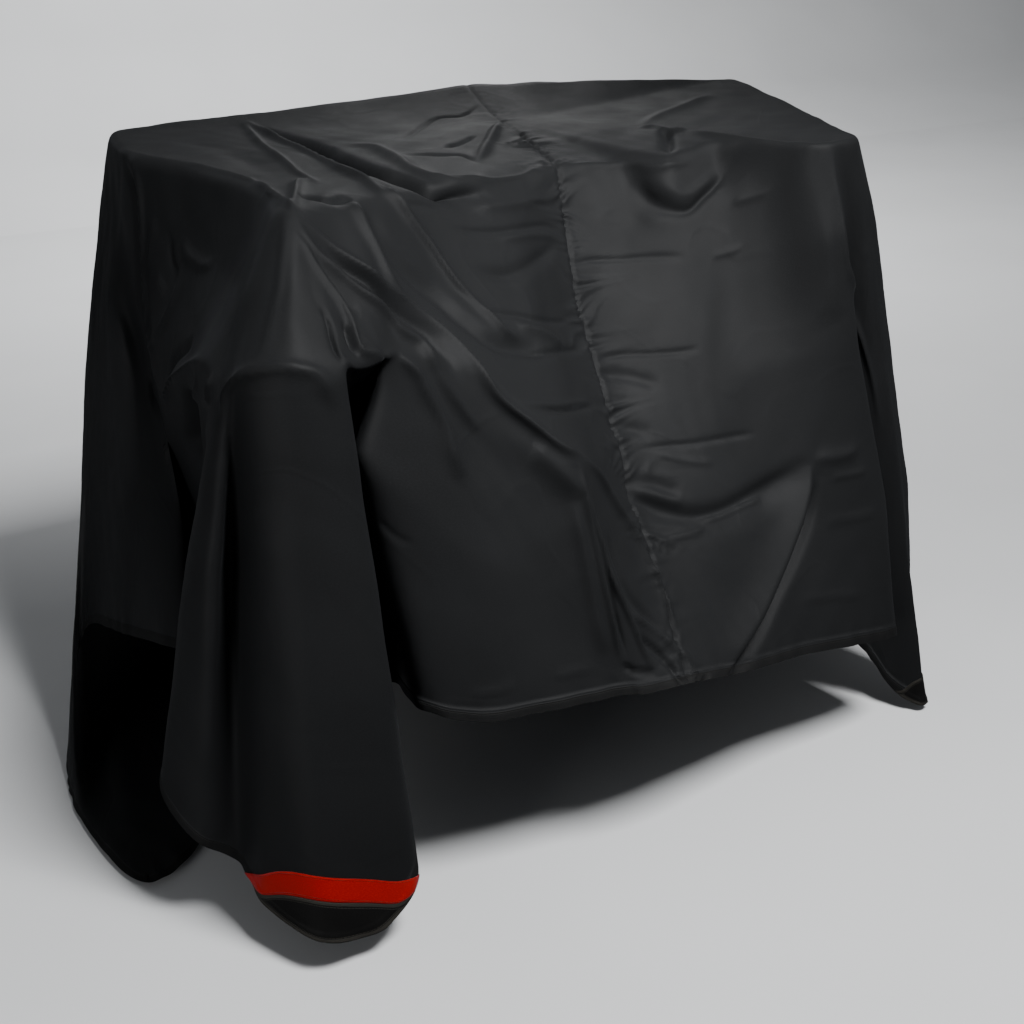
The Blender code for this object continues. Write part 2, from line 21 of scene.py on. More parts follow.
import bpy
import numpy as np
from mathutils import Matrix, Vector


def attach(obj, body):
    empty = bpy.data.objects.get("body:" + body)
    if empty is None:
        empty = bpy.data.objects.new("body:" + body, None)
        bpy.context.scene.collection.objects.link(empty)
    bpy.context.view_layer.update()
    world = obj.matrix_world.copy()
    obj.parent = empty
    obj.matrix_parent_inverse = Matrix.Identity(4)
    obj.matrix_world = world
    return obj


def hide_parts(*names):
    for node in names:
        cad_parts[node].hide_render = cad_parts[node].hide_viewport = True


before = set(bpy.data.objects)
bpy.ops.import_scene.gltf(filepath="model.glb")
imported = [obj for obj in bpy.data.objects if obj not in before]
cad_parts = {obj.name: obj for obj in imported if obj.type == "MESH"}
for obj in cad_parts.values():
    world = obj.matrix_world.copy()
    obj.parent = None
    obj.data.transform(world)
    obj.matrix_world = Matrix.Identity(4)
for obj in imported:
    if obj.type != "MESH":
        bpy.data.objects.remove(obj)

LOG = logging.getLogger("drum_cover")
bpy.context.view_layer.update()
# Height of the origin over the floor.
REST_HEIGHT = 1.2195

Point = tuple[float, float, float]
Color = tuple[float, float, float]
Section = tuple[tuple[float, ...], tuple[float, ...]]
Arrays = tuple[np.ndarray, np.ndarray]
Socket = bpy.types.NodeSocket
Piece = bpy.types.Object


class Fold(NamedTuple):
    """One fold: where it meets the flat hem, and the places it hangs through (x, y, height)."""

    name: str
    u: float
    v: float
    crown: Point
    breast: Point
    shoulder: Point
    waist: Point
    hem: Point


class Crease(NamedTuple):
    """One crease: its height (below zero: a hollow), half width, how sharp it is, and its path.

    steep draws in one side and widens the other: above zero the side to the right of the path.
    """

    name: str
    height: float
    width: float
    sharp: float
    path: tuple[tuple[float, float], ...]
    steep: float = 0.0


# The folds in their order around the hem, clockwise from the front seam.
FOLDS: list[Fold] = [
    Fold("seam front", 0.00, -1.20, (0, -.14, 1.205), (-.045, -.29, .98), (-.056, -.45, .77),
         (-.066, -.60, .56), (-.073, -.743, .37)),
    Fold("front 1", -.13, -1.20, (-.08, -.17, 1.205), (-.13, -.34, .98), (-.145, -.54, .765),
         (-.155, -.66, .56), (-.165, -.738, .372)),
    Fold("knee", -.27, -1.20, (-.16, -.205, 1.208), (-.20, -.40, .98), (-.237, -.625, .80),
         (-.229, -.67, .60), (-.213, -.722, .374)),
    Fold("front 3", -.40, -1.20, (-.27, -.245, 1.215), (-.292, -.397, 1.03), (-.317, -.592, .885),
         (-.34, -.655, .62), (-.36, -.704, .375)),
    Fold("front 4", -.53, -1.20, (-.39, -.29, 1.225), (-.41, -.40, 1.088), (-.43, -.553, .985),
         (-.465, -.635, .68), (-.484, -.674, .376)),
    Fold("front fold", -.66, -1.20, (-.51, -.345, 1.235), (-.545, -.475, 1.135), (-.564, -.57, 1.032),
         (-.658, -.60, .891), (-.57, -.60, .402)),
    Fold("front fold in", -.71, -1.20, (-.535, -.362, 1.237), (-.56, -.482, 1.150), (-.585, -.58, 1.040),
         (-.640, -.54, .867), (-.542, -.51, .375)),
    Fold("pleat in", -.82, -1.20, (-.60, -.40, 1.242), (-.612, -.482, 1.168), (-.620, -.605, 1.046),
         (-.56, -.42, .84), (-.54, -.44, .36)),
    Fold("pleat deep", -.98, -1.20, (-.648, -.430, 1.248), (-.65, -.515, 1.16), (-.661, -.625, 1.048),
         (-.57, -.36, .82), (-.55, -.34, .31)),
    Fold("pleat out", -1.15, -1.20, (-.659, -.438, 1.25), (-.68, -.54, 1.155), (-.686, -.640, 1.055),
         (-.635, -.50, .75), (-.585, -.46, .22)),
    Fold("cone right", -1.36, -1.20, (-.667, -.444, 1.252), (-.70, -.55, 1.15), (-.694, -.655, 1.045),
         (-.66, -.66, .72), (-.616, -.70, .12)),
    Fold("cone front", -1.50, -1.20, (-.675, -.448, 1.252), (-.712, -.56, 1.15), (-.732, -.66, 1.048),
         (-.72, -.69, .72), (-.708, -.73, .054)),
    Fold("corner near left", -1.60, -1.20, (-.684, -.447, 1.252), (-.727, -.555, 1.15),
         (-.776, -.65, 1.065), (-.785, -.675, .72), (-.804, -.73, .068)),
    Fold("cone left", -1.60, -1.06, (-.691, -.441, 1.252), (-.745, -.54, 1.15), (-.824, -.605, 1.060),
         (-.841, -.61, .715), (-.868, -.62, .092)),
    Fold("cone valley", -1.60, -.91, (-.695, -.431, 1.252), (-.765, -.52, 1.15), (-.846, -.572, 1.036),
         (-.846, -.49, .70), (-.888, -.51, .135)),
    Fold("cone left ridge", -1.60, -.84, (-.696, -.424, 1.251), (-.772, -.50, 1.145), (-.850, -.558, 1.013),
         (-.891, -.548, .712), (-.939, -.50, .173)),
    Fold("cone left edge", -1.60, -.74, (-.696, -.412, 1.25), (-.778, -.475, 1.14), (-.858, -.53, .985),
         (-.912, -.462, .69), (-.981, -.42, .255)),
    Fold("side pleat in", -1.60, -.58, (-.664, -.31, 1.25), (-.75, -.36, 1.117), (-.839, -.425, 1.016),
         (-.785, -.30, .70), (-.82, -.32, .34)),
    Fold("side pleat deep", -1.60, -.42, (-.668, -.20, 1.25), (-.72, -.22, 1.111), (-.815, -.245, .95),
         (-.775, -.19, .756), (-.72, -.17, .34)),
    Fold("side pleat out", -1.60, -.24, (-.706, -.01, 1.25), (-.732, -.01, 1.119), (-.798, -.04, .853),
         (-.763, .04, .685), (-.694, .02, .272)),
    Fold("flap front", -1.60, -.08, (-.762, .14, 1.25), (-.761, .14, 1.14), (-.765, .14, .87),
         (-.779, -.035, .617), (-.82, -.21, .391)),
    Fold("flap middle", -1.60, .25, (-.752, .25, 1.25), (-.757, .26, 1.136), (-.79, .25, .95),
         (-.835, .10, .67), (-.90, -.02, .357)),
    Fold("flap back", -1.60, .65, (-.736, .34, 1.25), (-.754, .34, 1.13), (-.80, .33, .93),
         (-.865, .25, .64), (-.93, .20, .28)),
    Fold("side edge", -1.60, .92, (-.727, .385, 1.25), (-.755, .385, 1.12), (-.81, .35, .90),
         (-.885, .27, .58), (-.965, .20, .18)),
    Fold("tuck 1", -1.60, 1.18, (-.718, .415, 1.25), (-.755, .395, 1.12), (-.83, .36, .80),
         (-.93, .24, .36), (-1.03, .10, .016)),
    Fold("tuck 2", -1.60, 1.48, (-.713, .43, 1.25), (-.755, .41, 1.05), (-.85, .35, .55),
         (-.97, .19, .03), (-1.05, -.10, .012)),
    Fold("corner far left", -1.60, 1.80, (-.704, .442, 1.25), (-.745, .42, 1.05), (-.82, .37, .50),
         (-.89, .27, .03), (-1.0, -.34, .012)),
    Fold("back tuck", -1.30, 1.80, (-.688, .45, 1.25), (-.725, .45, 1.05), (-.78, .43, .50),
         (-.81, .37, .03), (-.84, -.22, .012)),
    Fold("back 1", -1.06, 1.80, (-.62, .46, 1.252), (-.65, .49, 1.05), (-.70, .50, .50),
         (-.71, .49, .03), (-.71, .10, .012)),
    Fold("back 2", -.84, 1.80, (-.52, .47, 1.255), (-.565, .53, 1.05), (-.60, .61, .50),
         (-.60, .64, .03), (-.57, .42, .012)),
    Fold("back 3", -.64, 1.80, (-.39, .475, 1.257), (-.42, .51, 1.05), (-.455, .545, .50),
         (-.46, .55, .12), (-.46, .56, .025)),
    Fold("back 4", -.41, 1.80, (-.22, .48, 1.262), (-.25, .545, 1.05), (-.28, .64, .50),
         (-.285, .69, .12), (-.28, .71, .022)),
    Fold("back 5", -.22, 1.80, (-.06, .478, 1.27), (-.09, .52, 1.05), (-.12, .56, .50),
         (-.13, .57, .12), (-.13, .58, .025)),
    Fold("seam back", 0.00, 1.80, (.128, .47, 1.28), (.115, .53, 1.05), (.075, .62, .50),
         (.06, .66, .12), (.06, .69, .022)),
    Fold("back 6", .25, 1.80, (.26, .45, 1.278), (.255, .49, 1.05), (.245, .535, .50),
         (.24, .55, .12), (.24, .56, .025)),
    Fold("back 7", .46, 1.80, (.39, .43, 1.275), (.39, .49, 1.05), (.39, .60, .50),
         (.39, .66, .10), (.39, .70, .022)),
    Fold("back 8", .66, 1.80, (.51, .418, 1.27), (.52, .455, 1.05), (.53, .51, .50),
         (.535, .54, .08), (.535, .58, .02)),
    Fold("back 9", .88, 1.80, (.63, .412, 1.264), (.64, .47, 1.05), (.655, .58, .50),
         (.66, .64, .05), (.66, .76, .014)),
    Fold("back 10", 1.10, 1.80, (.75, .408, 1.255), (.765, .445, 1.05), (.785, .50, .50),
         (.80, .54, .03), (.82, .76, .012)),
    Fold("back fold", 1.36, 1.80, (.815, .403, 1.25), (.835, .44, 1.05), (.88, .50, .50),
         (.93, .54, .03), (1.02, .78, .012)),
    Fold("corner far right", 1.60, 1.80, (.837, .392, 1.25), (.86, .42, 1.05), (.91, .46, .50),
         (.97, .48, .03), (1.20, .62, .012)),
    Fold("right fold", 1.60, 1.45, (.834, .367, 1.25), (.87, .38, 1.05), (.93, .37, .50),
         (1.0, .36, .045), (1.12, .42, .012)),
    Fold("right 1", 1.60, 1.12, (.815, .30, 1.25), (.835, .29, 1.08), (.86, .27, .80),
         (.89, .24, .45), (.94, .24, .14)),
    Fold("right 2", 1.60, .86, (.787, .22, 1.25), (.835, .21, 1.08), (.89, .18, .80),
         (.955, .15, .50), (1.04, .13, .24)),
    Fold("right 3", 1.60, .58, (.742, .10, 1.25), (.785, .09, 1.08), (.805, .06, .82),
         (.825, .03, .56), (.86, .03, .32)),
    Fold("right 4", 1.60, .30, (.700, -.01, 1.25), (.775, -.02, 1.08), (.825, -.03, .82),
         (.88, -.04, .58), (.96, -.05, .30)),
    Fold("right 5", 1.60, .02, (.654, -.13, 1.25), (.705, -.14, 1.08), (.725, -.15, .85),
         (.745, -.15, .60), (.78, -.16, .32)),
    Fold("right 6", 1.60, -.26, (.612, -.24, 1.25), (.68, -.25, 1.08), (.73, -.26, .85),
         (.79, -.27, .58), (.87, -.28, .26)),
    Fold("right 7", 1.60, -.52, (.585, -.31, 1.25), (.62, -.32, 1.08), (.645, -.34, .85),
         (.665, -.36, .55), (.69, -.38, .22)),
    Fold("right 8", 1.60, -.78, (.575, -.35, 1.25), (.612, -.387, 1.08), (.654, -.408, .85),
         (.721, -.438, .50), (.768, -.455, .11)),
    Fold("corner edge", 1.60, -1.02, (.556, -.375, 1.25), (.58, -.405, 1.08), (.61, -.44, .85),
         (.675, -.485, .50), (.735, -.51, .05)),
    Fold("corner near right", 1.60, -1.20, (.543, -.387, 1.25), (.567, -.41, 1.08), (.597, -.44, .85),
         (.65, -.50, .48), (.71, -.585, .016)),
    Fold("corner front", 1.40, -1.20, (.53, -.393, 1.25), (.552, -.415, 1.08), (.575, -.44, .85),
         (.60, -.475, .48), (.65, -.545, .045)),
    Fold("right pleat out", 1.20, -1.20, (.515, -.396, 1.248), (.535, -.41, 1.08), (.555, -.425, .85),
         (.57, -.445, .50), (.60, -.48, .14)),
    Fold("right pleat deep", 1.00, -1.20, (.49, -.396, 1.245), (.512, -.405, 1.08), (.53, -.405, .85),
         (.54, -.405, .52), (.54, -.41, .20)),
    Fold("front edge right", .78, -1.20, (.46, -.394, 1.24), (.477, -.447, 1.08), (.503, -.488, .85),
         (.563, -.543, .54), (.577, -.60, .235)),
    Fold("front right 2", .56, -1.20, (.41, -.35, 1.242), (.41, -.425, 1.06), (.41, -.487, .85),
         (.41, -.56, .54), (.42, -.645, .27)),
    Fold("front right 3", .36, -1.20, (.325, -.215, 1.238), (.285, -.33, 1.03), (.26, -.44, .83),
         (.255, -.55, .58), (.25, -.665, .30)),
    Fold("swag", .27, -1.20, (.195, -.225, 1.216), (.185, -.33, 1.02), (.18, -.44, .815),
         (.175, -.565, .575), (.17, -.685, .315)),
    Fold("front right 4", .18, -1.20, (.14, -.15, 1.205), (.11, -.30, 1.0), (.10, -.44, .80),
         (.095, -.58, .57), (.09, -.705, .33)),
]

# Paths are flat places (u, v); heights and widths are metres.
CREASES: list[Crease] = [
    Crease("crown left edge", .007, .009, .7, ((-.835, .24), (-.785, .11), (-.73, .02), (-.685, -.065),
           (-.65, -.165), (-.65, -.27))),
    Crease("peak edge", .012, .007, .95, ((-.65, -.21), (-.655, -.295), (-.675, -.44))),
    Crease("peak rim", .010, .009, .7, ((-.675, -.435), (-.625, -.325), (-.58, -.23), (-.55, -.205))),
    Crease("saddle hollow", -.010, .012, .2, ((-.615, -.325), (-.59, -.37), (-.53, -.345))),
    Crease("peak diagonal", .009, .009, .7, ((-.55, .395), (-.555, .175), (-.545, -.045), (-.545, -.16),
           (-.545, -.235))),
    Crease("top diagonal", .014, .009, .8, ((-.54, .4), (-.515, .25), (-.485, .1), (-.465, -.075),
           (-.46, -.235), (-.46, -.3), (-.435, -.335))),
    Crease("dark hollow", -.038, .020, .4, ((-.49, .24), (-.45, .13), (-.43, -.01), (-.4, -.14),
           (-.37, -.2), (-.345, -.25), (-.3, -.26), (-.225, -.245)), -.5),
    Crease("rise over dark hollow", .010, .018, .3, ((-.38, .1), (-.345, .04), (-.33, -.11),
           (-.315, -.19), (-.27, -.225), (-.18, -.195))),
    Crease("rim line", -.004, .006, .5, ((-.43, -.245), (-.425, -.315), (-.37, -.31), (-.31, -.3))),
    Crease("third ridge", .013, .009, .8, ((-.455, -.27), (-.43, -.335), (-.395, -.39), (-.365, -.445),
           (-.335, -.485), (-.3, -.525), (-.26, -.53))),
    Crease("third twin", .005, .006, .8, ((-.44, -.315), (-.41, -.345), (-.38, -.4))),
    Crease("second ridge", .013, .013, .6, ((-.535, -.355), (-.54, -.41), (-.525, -.455), (-.505, -.495),
           (-.49, -.515))),
    Crease("second hollow", -.016, .020, .1, ((-.515, -.37), (-.49, -.41), (-.455, -.45), (-.415, -.485),
           (-.385, -.52), (-.33, -.555), (-.195, -.545))),
    Crease("taut ridge", .013, .0095, .75, ((-.675, -.45), (-.62, -.47), (-.56, -.5), (-.495, -.52),
           (-.455, -.56), (-.425, -.615), (-.395, -.67), (-.345, -.71), (-.285, -.75), (-.225, -.765)),
           -.35),
    Crease("behind taut ridge", -.003, .006, .3, ((-.49, -.505), (-.445, -.545), (-.415, -.6),
           (-.4, -.645))),
    Crease("taut hollow", -.013, .010, .1, ((-.67, -.47), (-.64, -.48), (-.615, -.495), (-.54, -.53),
           (-.485, -.56), (-.47, -.595), (-.46, -.635))),
    Crease("hood ridge", .013, .010, .6, ((-.685, -.46), (-.685, -.49), (-.65, -.505), (-.62, -.525),
           (-.555, -.555), (-.53, -.575), (-.5, -.59), (-.49, -.62))),
    Crease("hood second ridge", .010, .009, .6, ((-.705, -.475), (-.7, -.51), (-.69, -.54),
           (-.685, -.565), (-.695, -.59), (-.685, -.605), (-.615, -.62))),
    Crease("hood hollow", -.005, .012, .2, ((-.695, -.485), (-.685, -.52), (-.64, -.555))),
    Crease("little pocket", -.011, .008, .2, ((-.705, -.57), (-.71, -.585), (-.72, -.605))),
    Crease("column slit", -.012, .007, .4, ((-.75, -.56), (-.765, -.58), (-.79, -.595), (-.815, -.615))),
    Crease("hood lip", .010, .008, .7, ((-.815, -.625), (-.71, -.625), (-.62, -.625), (-.555, -.615))),
    Crease("pocket fall", .014, .009, .7, ((-.55, -.615), (-.52, -.635), (-.505, -.665), (-.49, -.71),
           (-.485, -.755), (-.48, -.8))),
    Crease("pocket side fall", .008, .010, .6, ((-.5, -.59), (-.49, -.62), (-.48, -.65), (-.46, -.69),
           (-.44, -.725))),
    Crease("knee plateau", .009, .024, .2, ((-.35, -.75), (-.295, -.79), (-.25, -.835))),
    Crease("knee ridge", .014, .009, .7, ((-.24, -.79), (-.245, -.845), (-.245, -.905), (-.245, -.97),
           (-.245, -1.04), (-.245, -1.09), (-.245, -1.125)), -.2),
    Crease("knee hollow", -.006, .009, .2, ((-.225, -.855), (-.225, -.91), (-.22, -.965), (-.225, -1.03),
           (-.22, -1.085), (-.21, -1.125))),
    Crease("knee second ridge", .012, .008, .7, ((-.23, -.845), (-.22, -.92), (-.215, -.965),
           (-.2, -1.01), (-.15, -1.075), (-.12, -1.12), (-.095, -1.155))),
    Crease("knee second hollow", -.008, .012, .2, ((-.185, -.91), (-.165, -.965), (-.135, -1.02),
           (-.075, -1.065), (-.03, -1.1))),
    Crease("seam ridge", .014, .008, .8, ((-.225, -.765), (-.17, -.8), (-.115, -.845), (-.055, -.895),
           (-.025, -.955), (-.005, -.995), (.005, -1.035), (.01, -1.08)), -.4),
    Crease("seam foot ridge", .008, .008, .6, ((-.145, -1.05), (-.08, -1.075), (-.025, -1.115),
           (.01, -1.15), (.025, -1.18))),
    Crease("seam foot hollow", -.011, .009, .2, ((-.12, -1.1), (-.075, -1.125), (-.04, -1.16),
           (-.02, -1.2))),
    Crease("hem tuck", -.010, .006, .4, ((-.245, -1.15), (-.145, -1.16), (-.085, -1.165))),
    Crease("arc fold", -.005, .006, .5, ((-.365, -.46), (-.32, -.485), (-.245, -.485), (-.175, -.485),
           (-.075, -.475), (-.01, -.455))),
    Crease("arc light", .008, .012, .4, ((-.26, -.505), (-.19, -.51), (-.1, -.53))),
    Crease("arc dark", -.007, .007, .3, ((-.27, -.565), (-.205, -.555), (-.13, -.545), (-.03, -.53))),
    Crease("long thin fold", -.007, .005, .6, ((-.31, -.685), (-.2, -.675), (-.055, -.65))),
    Crease("long light", .004, .006, .6, ((-.355, -.68), (-.265, -.67), (-.085, -.645))),
    Crease("thin fold one", -.005, .006, .6, ((-.325, -.34), (-.215, -.32), (-.08, -.28), (-.035, -.28),
           (-.015, -.29))),
    Crease("thin fold two", .004, .008, .6, ((-.22, -.335), (-.085, -.3), (-.02, -.3))),
    Crease("soft hollow one", -.008, .014, .2, ((-.305, -.41), (-.23, -.405), (-.1, -.35), (-.04, -.315))),
    Crease("hollow line", .005, .006, .6, ((-.31, -.21), (-.21, -.21), (-.11, -.175), (-.035, -.135))),
    Crease("fold in the hollow", .006, .012, .4, ((-.255, -.28), (-.16, -.255), (-.05, -.215))),
    Crease("top wrinkle one", -.006, .006, .5, ((-.27, .1), (-.145, .28), (-.075, .285), (-.02, .325))),
    Crease("top wrinkle two", -.008, .006, .5, ((-.205, -.005), (-.16, .025), (-.105, .09))),
    Crease("top wrinkle three", -.005, .006, .5, ((-.31, -.055), (-.23, -.055), (-.185, -.055),
           (-.165, -.1))),
    Crease("top rise", .010, .012, .4, ((-.155, -.085), (-.1, .02), (-.015, .185))),
    Crease("swag left", -.002, .014, .1, ((.145, -.18), (.155, -.225), (.17, -.27), (.205, -.32))),
    Crease("swag", -.0095, .009, .4, ((.155, -.22), (.17, -.27), (.195, -.31), (.24, -.33), (.28, -.315),
           (.305, -.305), (.33, -.29))),
    Crease("swag bulge", .004, .012, .1, ((.165, -.205), (.19, -.27), (.23, -.3), (.275, -.295),
           (.32, -.275))),
    Crease("shelf line", .004, .006, .6, ((.01, -.135), (.095, -.15), (.15, -.17), (.19, -.23),
           (.255, -.245))),
    Crease("plate left fold", .009, .010, .5, ((.245, -.025), (.27, -.04), (.285, -.09), (.325, -.12))),
    Crease("plate hollow", -.014, .013, .2, ((.28, -.085), (.26, -.14), (.22, -.2))),
    Crease("recess light", .010, .007, .7, ((-1.1, -.12), (-1.035, -.18), (-.995, -.26), (-.955, -.35))),
    Crease("recess fold", .006, .006, .6, ((-.985, -.34), (-1.015, -.335), (-1.05, -.325),
           (-1.045, -.505))),
    Crease("recess bar", .008, .006, .6, ((-.955, -.445), (-.98, -.45), (-.995, -.47))),
    Crease("recess dark", -.010, .009, .3, ((-.95, -.24), (-1.0, -.165), (-1.04, -.14))),
    Crease("face fold one", .006, .006, .7, ((-.835, -.06), (-.845, -.095), (-.835, -.15), (-.815, -.185))),
    Crease("face fold two", -.006, .007, .3, ((-.855, -.02), (-.88, -.035), (-.89, -.07))),
    Crease("face fold three", .006, .006, .6, ((-.945, 0.0), (-.945, -.03), (-.945, -.055))),
    Crease("face long fold", .006, .010, .5, ((-.86, -.085), (-.91, -.085), (-.98, -.06), (-1.07, 0.0))),
    Crease("face thin fold", .005, .006, .6, ((-.865, .035), (-.925, .045), (-.945, .03))),
    Crease("cone edge", .006, .006, .7, ((-.695, -.445), (-.74, -.475), (-.81, -.52), (-.845, -.55),
           (-.885, -.58))),
    Crease("cone ridge", .006, .013, .5, ((-.69, -.455), (-.73, -.485), (-.8, -.535), (-.86, -.59))),
    Crease("shelf edge", .010, .008, .7, ((-.89, -.65), (-.875, -.635), (-.865, -.62), (-.875, -.61),
           (-.895, -.59), (-.905, -.575), (-.92, -.555), (-.95, -.53), (-.97, -.54))),
    Crease("flap valley", -.013, .009, .2, ((-.84, .18), (-.865, .12), (-.94, .095), (-1.045, .09),
           (-1.095, .035), (-1.21, .075), (-1.225, -.075), (-1.34, -.04), (-1.39, -.08))),
    Crease("flap ridge", .009, .008, .7, ((-.825, .135), (-.865, .095), (-.99, .06), (-1.07, 0.0),
           (-1.09, -.095))),
    Crease("column lobe", .006, .014, .4, ((-1.01, -.575), (-1.12, -.625), (-1.29, -.7), (-1.49, -.795))),
    Crease("right edge soft", .007, .030, .2, ((.425, -.365), (.445, -.455), (.47, -.55), (.49, -.65))),
    Crease("right edge", .008, .010, .7, ((.475, -.4), (.495, -.475), (.555, -.605), (.855, -.705),
           (.995, -.78))),
    Crease("long fold one", -.004, .005, .6, ((-.005, -.345), (.065, -.35), (.14, -.37), (.22, -.41))),
    Crease("long fold two", .003, .006, .8, ((.28, -.43), (.34, -.445))),
    Crease("long fold three", .003, .006, .8, ((.33, -.355), (.385, -.385))),
    Crease("long fold four", -.004, .005, .6, ((.015, -.545), (.1, -.555), (.215, -.585))),
    Crease("long fold five", -.004, .005, .6, ((.05, -.74), (.12, -.745), (.19, -.755), (.325, -.775))),
    Crease("soft hollow two", -.006, .014, .1, ((.005, -.575), (.055, -.59), (.09, -.605), (.125, -.625))),
    Crease("soft hollow three", -.006, .014, .1, ((-.025, -.68), (.035, -.695), (.085, -.715))),
    Crease("faint fold six", .003, .007, .6, ((.08, -.755), (.14, -.78), (.2, -.8))),
    Crease("seam hollow", -.006, .014, .1, ((0.0, -.795), (.055, -.81), (.115, -.84))),
    Crease("seam rise", .004, .012, .3, ((.01, -.82), (.065, -.84), (.115, -.86))),
    Crease("great sag", -.016, .024, .0, ((-.03, -.765), (-.005, -.805), (.03, -.845), (.11, -.885),
           (.195, -.895), (.305, -.885), (.445, -.87)), -.3),
    Crease("great sag lip", .004, .014, .3, ((.025, -.885), (.115, -.905), (.215, -.91), (.325, -.905))),
    Crease("sharp fold", .006, .006, .8, ((.14, -.9), (.205, -.9), (.325, -.895))),
    Crease("sharp fold two", .006, .006, .8, ((.03, -.925), (.1, -.92), (.15, -.915))),
    Crease("right lower ridge", .024, .020, .5, ((.455, -.87), (.435, -.925), (.365, -1.005),
           (.245, -1.1), (.155, -1.16), (.11, -1.2)), -.9),
    Crease("right lower hollow", -.018, .013, .2, ((.47, -.9), (.445, -.955), (.385, -1.025),
           (.28, -1.11), (.185, -1.17), (.135, -1.2))),
    Crease("right shelf fold", .006, .014, .5, ((.46, -.86), (.515, -.87), (.57, -.865))),
    Crease("right thin one", .003, .006, .8, ((.505, -.905), (.56, -.905), (.595, -.905))),
    Crease("right thin two", .003, .006, .8, ((.49, -.975), (.56, -.98), (.63, -.98))),
    Crease("right thin three", .003, .006, .8, ((.395, -1.1), (.485, -1.105), (.595, -1.115))),
    Crease("lower thin one", .0025, .006, .8, ((-.375, -1.14), (-.31, -1.14))),
    Crease("lower thin two", .0025, .006, .8, ((-.53, -1.155), (-.445, -1.145))),
    Crease("small wrinkle", -.002, .007, .3, ((-.585, -.87), (-.57, -.89), (-.55, -.905))),
    Crease("plate back edge", .006, .020, .5, ((.56, .22), (.44, .14), (.36, .085), (.27, .01))),
    Crease("plate front edge", .008, .012, .7, ((.31, -.11), (.35, -.215), (.39, -.295), (.455, -.38),
           (.53, -.39))),
    Crease("pocket hollow", -.030, .012, .1, ((-.75, -.655), (-.695, -.655), (-.59, -.635))),
    Crease("pocket hollow low", -.030, .012, .1, ((-.745, -.725), (-.715, -.705), (-.625, -.665))),
    Crease("top triangle", -.004, .030, .0, ((-.705, .28), (-.625, .115), (-.595, -.14))),
    Crease("recess hollow", -.034, .028, .1, ((-1.04, -.28), (-1.105, -.28), (-1.195, -.26))),
    Crease("taut shoulder", .006, .032, .0, ((-.485, -.63), (-.425, -.7), (-.38, -.745), (-.325, -.785),
           (-.275, -.83))),
    Crease("taut line", .004, .006, .8, ((-.47, -.54), (-.445, -.575), (-.425, -.615), (-.395, -.67),
           (-.345, -.71), (-.285, -.75), (-.235, -.765)), -.3),
    Crease("knee side", .010, .016, .1, ((-.275, -.845), (-.275, -.915), (-.275, -.995), (-.28, -1.065),
           (-.28, -1.12))),
    Crease("dark hollow start", -.009, .009, .4, ((-.515, .345), (-.49, .24), (-.46, .135))),
    Crease("dark hollow end", -.007, .028, .1, ((-.27, -.255), (-.195, -.225), (-.135, -.2),
           (-.055, -.15))),
]


